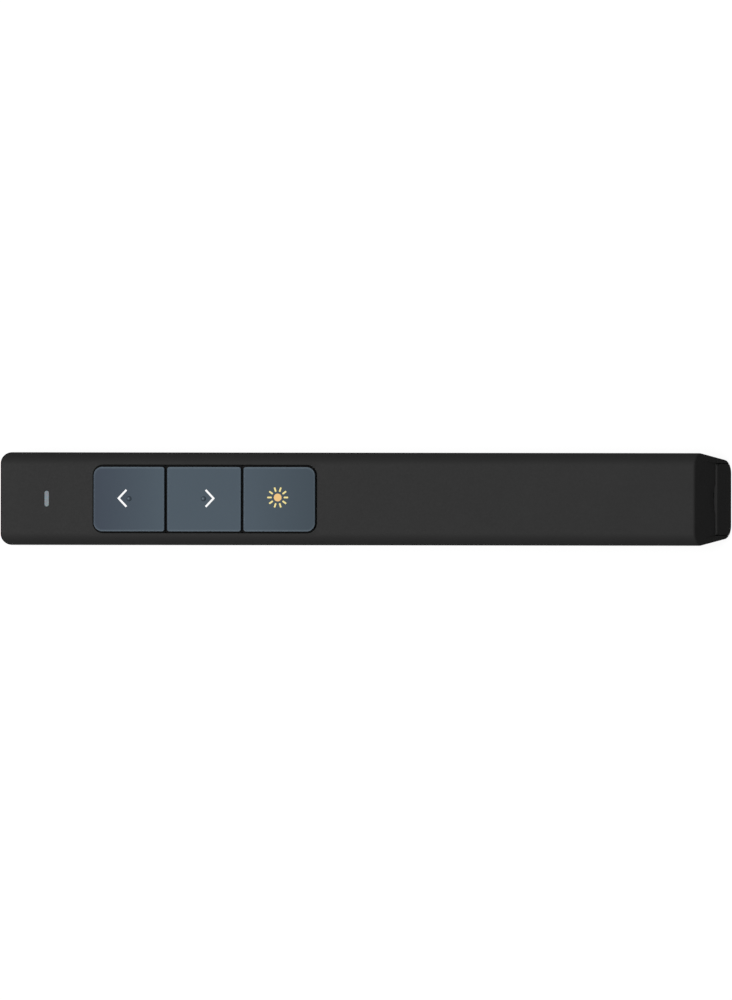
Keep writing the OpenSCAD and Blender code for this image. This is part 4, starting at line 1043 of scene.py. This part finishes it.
def arrowOutline(tipX, way):
    angle, half, stroke = math.radians(marks["arrowAngle"]), marks["arrowHalf"], marks["stroke"]
    reach = half / math.tan(angle)
    innerX, innerY = reach + stroke * math.sin(angle), half - stroke * math.cos(angle)
    corners = np.array([
        (0, 0), (innerX - stroke * math.sin(angle), -half), (innerX, -innerY),
        (stroke / math.sin(angle), 0), (innerX, innerY), (reach, half),
    ])
    outline = softOutline(corners, 0.07)
    outline[:, 0] = tipX + way * outline[:, 0]
    outline[:, 1] = marks["arrowSide"] + way * outline[:, 1]
    return outline


for node, tipX, way in (("previous", marks["arrowTips"][0], 1), ("next", marks["arrowTips"][1], -1)):
    skin = makeInk([arrowOutline(tipX, way)])
    finishPiece(node + "Arrow", skin, whiteInk, node + "_key", node + "_mark")

sunX, sunY = marks["sunPlace"]
turn = fullTurn(64)
disc = np.column_stack([sunX + marks["sunRadius"] * np.cos(turn), sunY + marks["sunRadius"] * np.sin(turn)])
finishPiece("sunDisc", makeInk([disc]), amberInk, "laser_key", "laser_mark_disc")
start, end, width, count = marks["rays"]
ray = softOutline([(start, -width / 2), (end, -width / 2), (end, width / 2), (start, width / 2)], 0.12)
rays = [
    np.column_stack([
        sunX + ray[:, 0] * math.cos(a) - ray[:, 1] * math.sin(a),
        sunY + ray[:, 0] * math.sin(a) + ray[:, 1] * math.cos(a)])
    for a in fullTurn(count)
]
finishPiece("sunRays", makeInk(rays), yellowInk, "laser_key", "laser_mark_rays")
print("marks done")


# Battery door
door = {
    "ends": (-8.25, 48.55),
    "half": 6.0,
    "cornerRadius": 1.0,
    "edgeRound": 0.12,
    "wallTop": 0.75,                # the smooth skin covers the underside and the edges up to here
    "underside": 0.45,              # points of the solid below this belong to its underside
    "ringGaps": (0.6, 0.4, 0.4),    # from its front, tail and sides to the ring inside it
    "ringRadius": 0.6,
    "hinge": (-7.58, 0.65, 0.67),   # axis: along the body and up; radius of the front edge round it
    "slits": (42.55, 2.8, 3.1),     # beside the latch tongue: start, inner and outer face
    "grips": (43.8, 1.05, 4),       # moulded finger grooves: first place, pitch, count
    "gripSize": (0.27, 1.9, 0.14),  # half width, half length, depth
    "corner": 10,
    "tail": np.linspace(-1, 1, 25),
    "front": np.linspace(-1, 1, 25),
    "side": np.linspace(-6.9, 47.4, 56),
}


# The plate's outline meets the case's underside in a small round, and the front edge turns about the hinge
def doorField(points):
    radius = door["cornerRadius"]
    plate = plateField(points, *door["ends"], door["half"], radius, radius)
    axisX, axisZ, reach = door["hinge"]
    front = np.hypot(np.minimum(points[..., 0] - axisX, 0), points[..., 2] - axisZ) - reach
    return np.maximum(blendMax(plate, bodyField(points), door["edgeRound"]), front)


# Half width of the case's bottom arc at a height
def arcHalf(z):
    return bottomCentre[0] + math.sqrt(max(body["bottomRadius"] ** 2 - (bottomCentre[1] - z) ** 2, 0))


# Heights down the bottom arc, even in angle
def arcHeights(fromZ, count):
    start = math.acos(1 - fromZ / body["bottomRadius"])
    return body["bottomRadius"] * (1 - np.cos(np.linspace(start, 0.02, count)))


def makeDoor():
    skin = Skin()
    rows = []
    x0, x1 = door["ends"]
    frontGap, tailGap, sideGap = door["ringGaps"]
    for z in np.concatenate([[door["wallTop"]], np.linspace(0.56, 0.22, 9), arcHeights(0.2, 14)]):
        half = min(door["half"], arcHalf(z)) - sideGap
        loop, ways = ringLoop(x0 + frontGap, x1 - tailGap, half, door["ringRadius"], door)
        rows.append(castRow((loop, z), ways, 0, doorField))
    rows[-1][:, 2] = 0
    grid = skin.add(np.stack(rows))
    skin.weave(grid)

    # each groove's section is a quarter of an ellipse from its rim to its floor
    first, pitch, count = door["grips"]
    halfWidth, halfLength, depth = door["gripSize"]
    holes = []
    for x in first + pitch * np.arange(count):
        ring = []
        for angle in np.radians(np.linspace(0, 90, 7)):
            plan = plateLoop(
                x - halfWidth, x + halfWidth, halfLength, halfWidth, halfWidth,
                0.8 * halfWidth * (1 - math.cos(angle)), 6, 0.4)
            ring.append(lift(plan, depth * math.sin(angle)))
        groove = skin.add(np.stack(ring))
        skin.weave(groove)
        skin.fill(groove[-1], flip=True)
        holes.append(groove[0])
    skin.fill(grid[-1], holes, flip=True)
    start, inner, outer = door["slits"]
    for low, high in ((inner, outer), (-outer, -inner)):
        cutAway(skin, (start, low, -1), (x1 + 1, high, 2))
    skin.thicken(-gradientOf(doorField, skin.points) * body["filmDepth"])
    return skin


def onUnderside(points):
    return points[:, 2] < door["underside"]


doorSkin = makeDoor()
doorWalls = [((-70, -10, -1), (70, 10, door["underside"]), (0, 0, -1))]
doorSkin.join(drawnIn("battery_door", bodyField, doorWalls, onUnderside))
finishPiece("batteryDoor", doorSkin, caseAbs, "door", "battery_door")
print("battery door done")


# Receiver: its end cap closes the case's tail, and its plug goes into the bay
cap = {
    "frontX": 61.5,
    "half": 6.6,
    "topZ": 5.4,
    "edgeRound": 0.09,
    "room": (5.75, 0.8, 4.6),       # opening for the board: half width, floor, ceiling
    "ringGap": 0.35,                # from its front and sides to the ring inside it
    "ringTail": 0.6,                # from the tail face to the ring
    "ringRadius": 0.1,
    "corner": 8,
    "tail": np.linspace(-1, 1, 41),
    "front": np.linspace(-1, 1, 25),
}
plug = {
    "ends": (49.75, 61.5),
    "heights": (0.8, 5.3),
    "half": 6.0,
    "bend": 0.5,                    # radius of the folded sheet
    "sheet": 0.3,
    "mouthRound": 0.12,
    "catches": (53.75, 55.95, 1.6, 3.8),
    "seam": 0.05,
}


# A block with rounded edges, cut off by the outside of the case
def capField(points):
    x, y, z = points[..., 0], np.abs(points[..., 1]), points[..., 2]
    edge = cap["edgeRound"]
    block = blendMax(blendMax(y - cap["half"], cap["frontX"] - x, edge), z - cap["topZ"], edge)
    return blendMax(block, bodyField(points), edge)


def makeCap():
    skin = Skin()
    rows = []
    topEdge = cap["topZ"] - cap["edgeRound"] * (1 - np.sin(np.radians([84, 66, 45, 22, 0])))
    for z in np.concatenate([topEdge, np.linspace(5.0, 0.95, 10), arcHeights(0.8, 26)]):
        startX, endX = cap["frontX"] + cap["ringGap"], tailAt(z) - cap["ringTail"]
        spread = dict(cap, side=np.linspace(cap["frontX"] + 0.6, endX - 0.3, 10))
        half = min(cap["half"], arcHalf(z)) - cap["ringGap"]
        loop, ways = ringLoop(startX, endX, half, cap["ringRadius"], spread)
        rows.append(castRow((loop, z), ways, 0, capField))
    rows[0][:, 2] = cap["topZ"]
    rows[-1][:, 2] = 0
    grid = skin.add(np.stack(rows))
    skin.weave(grid)
    skin.fill(grid[0])
    skin.fill(grid[-1], flip=True)
    half, low, high = cap["room"]
    cutAway(skin, (cap["frontX"] - 0.5, -half, low), (cap["frontX"] + 0.4, half, high))
    skin.thicken(-gradientOf(capField, skin.points) * body["filmDepth"])
    return skin


# Distance from the plug's folded tube: a rounded rectangle in height and width, the same all along
def plugField(points):
    bend = plug["bend"]
    return plateField(points[..., [2, 1]], *plug["heights"], plug["half"], bend, bend)


def makePlug():
    skin = Skin()
    rows = []
    x0, x1 = plug["ends"]
    lip = plug["mouthRound"]

    def section(x, inset):
        loop = plateLoop(*plug["heights"], plug["half"], plug["bend"], plug["bend"], inset, 7, 0.6)
        return np.column_stack([np.full(len(loop), x), loop[:, 1], loop[:, 0]])

    for angle in np.radians([0, 30, 60, 90]):
        rows.append(section(x0 + lip * (1 - math.cos(angle)), lip * (1 - math.sin(angle))))
    rows += [section(x, 0) for x in np.linspace(x0 + 0.7, x1, 12)]
    skin.weave(skin.add(np.stack(rows)))
    start, end, inner, outer = plug["catches"]
    low, high = plug["heights"]
    for y0, y1 in ((inner, outer), (-outer, -inner)):
        cutAway(skin, (start, y0, high - 0.3), (end, y1, high + 0.3))
        cutAway(skin, (start, y0, low - 0.3), (end, y1, low + 0.3))
    cutAway(skin, (x0 - 1, -plug["seam"], low - 0.3), (x1 + 1, plug["seam"], low + 0.3))
    skin.thicken(-gradientOf(plugField, skin.points) * plug["sheet"])
    return skin


capSkin = makeCap()
capSkin.join(drawnIn("receiver_cap", capField))
finishPiece("receiverEndCap", capSkin, caseAbs, "receiver", "receiver_cap")
finishPiece("plugShell", makePlug(), nickelSteel, "receiver", "usb_shell")
print("receiver done")


# Power switch knob: one section carried along the body, with ribs across its face
knob = {
    "centre": (-31.0, 6.3),         # along the body, and up
    "halfLength": 2.1,
    "halfHeight": 1.1,
    "faceY": 8.32,
    "baseY": 6.9,
    "edgeRound": 0.22,
    "cornerRadius": 0.4,
    "grooves": 4,
    "grooveDepth": 0.2,
}


# How far a rounded edge has fallen at a distance in from where it ends
def edgeFall(distance, radius):
    return radius - np.sqrt(np.maximum(radius ** 2 - np.maximum(radius - distance, 0) ** 2, 0))


def makeKnob():
    half, edge = knob["halfLength"], knob["edgeRound"]
    bend = np.cos(np.radians(np.linspace(90, 0, 9)[1:]))
    ends = half - edge + edge * bend
    x = np.concatenate([-ends[::-1], np.linspace(edge - half, half - edge, 89), ends])
    pitch = 2 * half / (knob["grooves"] + 0.5)
    phase = ((x + half) / pitch + 0.5) % 1
    wave = np.sin(np.minimum(phase, 0.5) * 2 * math.pi) ** 0.8
    groove = np.where((x > -half + pitch / 2) & (phase < 0.5), wave, 0)
    face = knob["faceY"] - edgeFall(half - np.abs(x), edge) - knob["grooveDepth"] * groove
    wide = knob["halfHeight"] - edgeFall(half - np.abs(x), knob["cornerRadius"])

    # the section is a wall, a quarter circle, the face, and the same again on the other side
    turn = np.radians(np.linspace(0, 90, 7))
    z = np.concatenate([
        wide[:, None] + 0 * turn[None, :2], wide[:, None] - edge * (1 - np.cos(turn)),
        -wide[:, None] + edge * (1 - np.cos(turn[::-1])), -wide[:, None] + 0 * turn[None, :2],
    ], 1)
    flatY = face[:, None] - edge * (1 - np.sin(turn))
    base = np.full((len(x), 1), knob["baseY"])
    y = np.concatenate([base, flatY[:, :1], flatY, flatY[:, ::-1], flatY[:, :1], base], 1)
    skin = Skin()
    grid = skin.add(np.stack([
        np.broadcast_to(knob["centre"][0] + x[:, None], y.shape), -y, knob["centre"][1] + z], -1))
    skin.weave(grid, flip=True)
    skin.fill(grid[0], axes=(1, 2), flip=True)
    skin.fill(grid[-1], axes=(1, 2))
    return skin


def knobField(points):
    centreX, centreZ = knob["centre"]
    x, y, z = np.abs(points[..., 0] - centreX), points[..., 1], np.abs(points[..., 2] - centreZ)
    radius = knob["cornerRadius"]
    block = blendMax(x - knob["halfLength"], z - knob["halfHeight"], radius)
    block = blendMax(block, -y - knob["faceY"], radius)
    return np.where(y < -knob["baseY"], block, -1.0)


knobSkin = makeKnob()
knobSkin.join(drawnIn("power_switch_knob", knobField))
finishPiece("sliderKnob", knobSkin, knobAbs, "knob", "power_switch_knob")
print("knob done")


# Parts turned about an axis along the body: a profile of places and radii, carried round it
def softPath(corners, radius, steps=5):
    bends = softOutline(corners, radius, steps)[steps:-steps]
    return np.vstack([corners[:1], bends, corners[-1:]])


def turnedSkin(profile, axisZ, closed, count=64):
    turn = fullTurn(count)
    x, r = profile[:, :1], profile[:, 1:]
    skin = Skin()
    grid = skin.add(np.stack([x + 0 * turn, r * np.cos(turn), axisZ + r * np.sin(turn)], -1))
    if closed:
        grid = np.vstack([grid, grid[:1]])
    else:
        skin.fill(grid[0], axes=(1, 2), flip=True)
        skin.fill(grid[-1], axes=(1, 2))
    skin.weave(grid, flip=True)
    return skin


turned = {
    "cellZ": 6.75,
    "cell": [
        (-2.95, 0.3), (-2.95, 1.9), (-2.2, 1.9), (-2.12, 2.3), (-2.12, 4.5), (-1.7, 5.1),
        (41.1, 5.1), (41.52, 4.6), (41.55, 3.6), (41.45, 3.3), (41.45, 0.3),
    ],
    "sleeve": [
        (-2.145, 4.0), (-2.15, 4.5), (-1.75, 5.25), (41.15, 5.25), (41.55, 4.75), (41.55, 4.4),
        (41.5, 4.4), (41.1, 5.13), (-1.7, 5.13), (-2.1, 4.4), (-2.1, 4.0),
    ],
    "laserZ": 7.2,
    "barrel": [
        (-66.1, 2.35), (-66.1, 2.85), (-65.95, 3.0), (-58.6, 3.0), (-58.6, 2.9), (-58.2, 2.9), (-58.2, 3.0),
        (-55.75, 3.0), (-55.6, 2.85), (-55.6, 2.2), (-65.9, 2.2),
    ],
    "lens": [(-65.3, 0.1), (-65.22, 1.1), (-64.98, 2.0), (-64.9, 2.2), (-64.1, 2.2), (-64.1, 0.1)],
    "window": [(-66.8, 0.1), (-66.8, 2.5), (-66.1, 2.5), (-66.1, 0.1)],
    "hollow": ("sleeve", "barrel"),     # closed profiles, clear of the axis
}
turnedParts = (
    ("cellCan", "cell", "cellZ", 0.12, nickelSteel, "steel", "battery_cell"),
    ("cellSleeve", "sleeve", "cellZ", 0.02, shrinkSleeve, "cell_sleeve", "battery_sleeve"),
    ("laserTube", "barrel", "laserZ", 0.04, turnedBrass, "brass", "laser_barrel"),
    ("laserLens", "lens", "laserZ", 0.06, lensAcrylic, "lens", "laser_lens"),
    ("beamWindow", "window", "laserZ", 0.08, windowAcrylic, "window", "laser_window"),
)
for name, profile, axis, bend, material, slotName, node in turnedParts:
    hollow = profile in turned["hollow"]
    corners = np.array(turned[profile])
    section = softOutline(corners, bend, 3) if hollow else softPath(corners, bend)
    finishPiece(name, turnedSkin(section, turned[axis], hollow), material, "case", node)
print("turned parts done")


# Small parts whose solids already have the right shape: the doubled points are merged, the flats made
# whole again, and the edges rounded as a mould or a press leaves them
def softCopy(node, name, material, bodyName, slotName, edge):
    piece = finishPiece(name, skinOf(node), material, bodyName, node, 180)
    shape = bmesh.new()
    shape.from_mesh(piece.data)
    bmesh.ops.dissolve_limit(shape, angle_limit=math.radians(0.5), verts=shape.verts, edges=shape.edges)
    shape.to_mesh(piece.data)
    shape.free()
    bevel = piece.modifiers.new("edges", "BEVEL")
    bevel.width = edge * mm
    bevel.segments = 2
    bevel.limit_method = "ANGLE"
    bevel.angle_limit = math.radians(40)
    bevel.harden_normals = True


smallParts = {
    "status_light_pipe": ("lightGuide", guideAcrylic, "case", "light_guide", 0.07),
    "case_screws": ("caseScrews", nickelSteel, "case", "steel", 0.06),
    "board_screws": ("boardScrews", blackenedSteel, "case", "steel", 0.06),
    "main_board": ("mainBoard", solderMask, "case", "board", 0.05),
    "laser_driver_board": ("driverBoard", solderMask, "case", "board", 0.05),
    "radio_chip": ("radioChip", blackNylon, "case", "black_plastic", 0.08),
    "crystal_can": ("crystalCan", nickelSteel, "case", "steel", 0.3),
    "board_parts": ("boardParts", chipCeramic, "case", "ceramic_part", 0.04),
    "status_led": ("statusLed", epoxyLed, "case", "led", 0.06),
    "power_switch_body": ("switchFrame", nickelSteel, "case", "steel", 0.08),
    "power_switch_actuator": ("switchActuator", blackNylon, "actuator", "black_plastic", 0.08),
    "positive_contact": ("positiveContact", nickelSteel, "case", "steel", 0.05),
    "negative_contact": ("negativeContact", nickelSteel, "case", "steel", 0.05),
    "usb_tongue": ("plugTongue", whiteNylon, "receiver", "white_plastic", 0.12),
    "usb_contacts": ("plugContacts", goldPlate, "receiver", "gold", 0.04),
    "receiver_board": ("receiverBoard", solderMask, "receiver", "board", 0.05),
    "receiver_chip": ("receiverChip", blackNylon, "receiver", "black_plastic", 0.06),
}
for keyName in ("previous", "next", "laser"):
    smallParts[keyName + "_switch_body"] = (keyName + "SwitchBase", blackNylon, "case", "black_plastic", 0.08)
    smallParts[keyName + "_switch_cover"] = (keyName + "SwitchCover", nickelSteel, "case", "steel", 0.06)
    smallParts[keyName + "_switch_plunger"] = (
        keyName + "SwitchPlunger", redNylon, keyName + "_plunger", "red_plastic", 0.12)
for node, settings in smallParts.items():
    softCopy(node, *settings)
print("small parts done")


# Wires: a circle carried along a path, its section set square to the path
def wireSkin(path, radius, sides=12):
    ahead = np.gradient(path, axis=0)
    ahead /= np.linalg.norm(ahead, axis=1, keepdims=True)
    across = np.cross(ahead, (1.0, 0.0, 0.0) if abs(ahead[0, 0]) < 0.7 else (0.0, 0.0, 1.0))
    across /= np.linalg.norm(across, axis=1, keepdims=True)
    above = np.cross(ahead, across)
    turn = fullTurn(sides)[:, None]
    rings = path[:, None] + radius * (across[:, None] * np.cos(turn) + above[:, None] * np.sin(turn))
    skin = Skin()
    grid = skin.add(rings)
    skin.weave(grid)
    for end, flip in ((grid[0], False), (grid[-1], True)):
        centre = skin.add(skin.points[end].mean(0)[None])
        fan = np.column_stack([np.full(sides, centre[0]), np.roll(end, -1), end])
        skin.tris = np.vstack([skin.tris, fan[:, ::-1] if flip else fan])
    return skin


spring = {
    "seatX": 44.35,
    "wire": 0.25,                   # radius
    "run": 2.3,
    "turns": 3,
    "seatRadius": 3.4,
    "cellRadius": 2.0,
}
leads = {"ends": (-54.8, -53.2), "side": 1.6, "z": 8.3, "radius": 0.3}

# the coil's radius and place along the body change evenly from the seat to the cell
share = np.linspace(0, 1, 48 * spring["turns"] + 1)
coil = spring["seatRadius"] + (spring["cellRadius"] - spring["seatRadius"]) * share
turn = 2 * math.pi * spring["turns"] * share
springPath = np.column_stack([
    spring["seatX"] - spring["wire"] - spring["run"] * share,
    coil * np.cos(turn), turned["cellZ"] + coil * np.sin(turn)])
springSkin = wireSkin(springPath, spring["wire"])
finishPiece("cellSpring", springSkin, nickelSteel, "case", "negative_spring", 60)
leadSkin = Skin()
for y in (-leads["side"], leads["side"]):
    along = np.linspace(*leads["ends"], 9)
    leadPath = np.column_stack([along, np.full(len(along), y), np.full(len(along), leads["z"])])
    leadSkin.join(wireSkin(leadPath, leads["radius"], 16))
finishPiece("laserLeads", leadSkin, wirePvc, "case", "laser_leads", 60)
print("wires done")


# Camera, lights and floor
view = {
    "lens": 1000.0,
    "sensor": 36.0,
    "pixelsHigh": 1000,
    "pixel": 0.1847,            # millimetres that one pixel covers at mid height
    "clipEnd": 50.0,            # metres
    "centre": (-0.10, -0.18),
    "roll": 0.08,
}


def makeCamera():
    camera = bpy.data.cameras.new("camera")
    camera.lens = view["lens"]
    camera.sensor_width = view["sensor"]
    camera.clip_end = view["clipEnd"]
    distance = view["lens"] / view["sensor"] * view["pixelsHigh"] * view["pixel"]
    holder = newObject("camera", camera)
    centreX, centreY = view["centre"]
    holder.location = (centreX * mm, centreY * mm, (distance + body["height"] / 2) * mm)
    holder.rotation_euler = (0, 0, math.radians(view["roll"]))
    bpy.context.scene.camera = holder


def makeLamp(name, place, target, size, power, gloss=True):
    lamp = bpy.data.lights.new(name, "AREA")
    lamp.shape = "RECTANGLE"
    lamp.size, lamp.size_y = size
    lamp.energy = power
    holder = newObject(name, lamp)
    holder.location = place
    holder.rotation_euler = (Vector(place) - Vector(target)).to_track_quat("Z", "Y").to_euler()
    holder.visible_camera = False
    holder.visible_glossy = gloss


studio = {
    "lampPlace": (-0.26, 0.0, 0.97),
    "lampSize": (0.4, 0.4),
    "lampPower": 8.9,
    "sidePlace": (-0.1, 0.75, -0.62),   # one lamp low on each side lights the walls and the underside
    "sideSize": (0.4, 0.4),
    "sidePower": 3.4,
    "sky": 0.08,                # what the open room adds from every side
    "skyInGloss": 0.8,          # white surround, as reflections see it
    "floorInGloss": 0.05,
    "floorGlow": 0.92,          # on top of the light that falls on the floor
    "floorColour": "#636363",
    "floorReach": 6,            # metres to each side
    "floorZ": -0.02,            # just clear of the underside, and only seen from above
}
makeCamera()
makeLamp("overhead", studio["lampPlace"], (0, 0, 0), studio["lampSize"], studio["lampPower"])
alongX, asideY, belowZ = studio["sidePlace"]
for lampName, y in (("nearSide", -asideY), ("farSide", asideY)):
    makeLamp(lampName, (alongX, y, belowZ), (0, 0, 0), studio["sideSize"], studio["sidePower"], False)


# A strength for camera and transmission rays, one for glossy rays, one for the rest
def rayStrength(tree, shown, glossy, rest):
    path = addNode(tree, "ShaderNodeLightPath")
    gloss = addNode(tree, "ShaderNodeMapRange", {"To Min": rest, "To Max": glossy}, {
        "Value": path.outputs["Is Glossy Ray"]})
    direct = addNode(tree, "ShaderNodeMath", {"operation": "MAXIMUM"}, {
        0: path.outputs["Is Camera Ray"], 1: path.outputs["Is Transmission Ray"]})
    return addNode(tree, "ShaderNodeMix", {"B": shown}, {
        "Factor": direct.outputs[0], "A": gloss.outputs["Result"]}).outputs[0]


world = bpy.data.worlds.new("studioSky")
bpy.context.scene.world = world
tree = clearTree(world)
sky = addNode(tree, "ShaderNodeBackground", {"Color": (1, 1, 1, 1)}, {
    "Strength": rayStrength(tree, 1.0, studio["skyInGloss"], studio["sky"])})
addNode(tree, "ShaderNodeOutputWorld", {}, {"Surface": sky.outputs["Background"]})

floorMaterial = bpy.data.materials.new("paintedBackdrop")
tree = clearTree(floorMaterial)
matt = addNode(tree, "ShaderNodeBsdfDiffuse", {"Color": linearOf(studio["floorColour"])})
glow = addNode(tree, "ShaderNodeEmission", {"Color": (1, 1, 1, 1)}, {
    "Strength": rayStrength(tree, studio["floorGlow"], studio["floorInGloss"], 0.0)})
total = addNode(tree, "ShaderNodeAddShader", {}, {0: matt.outputs[0], 1: glow.outputs[0]})
side = addNode(tree, "ShaderNodeNewGeometry")
clear = addNode(tree, "ShaderNodeBsdfTransparent")
seen = addNode(tree, "ShaderNodeMixShader", {}, {
    0: side.outputs["Backfacing"], 1: total.outputs[0], 2: clear.outputs[0]})
addNode(tree, "ShaderNodeOutputMaterial", {}, {"Surface": seen.outputs[0]})
floorMesh = bpy.data.meshes.new("floor")
reach, floorZ = studio["floorReach"], studio["floorZ"] * mm
corners = [(x * reach, y * reach, floorZ) for x, y in ((-1, -1), (1, -1), (1, 1), (-1, 1))]
floorMesh.from_pydata(corners, [], [(0, 1, 2, 3)])
floorMesh.materials.append(floorMaterial)
floor = newObject("floor", floorMesh)
floor.visible_diffuse = False
floor.visible_shadow = False

bpy.context.scene.view_settings.view_transform = "Standard"
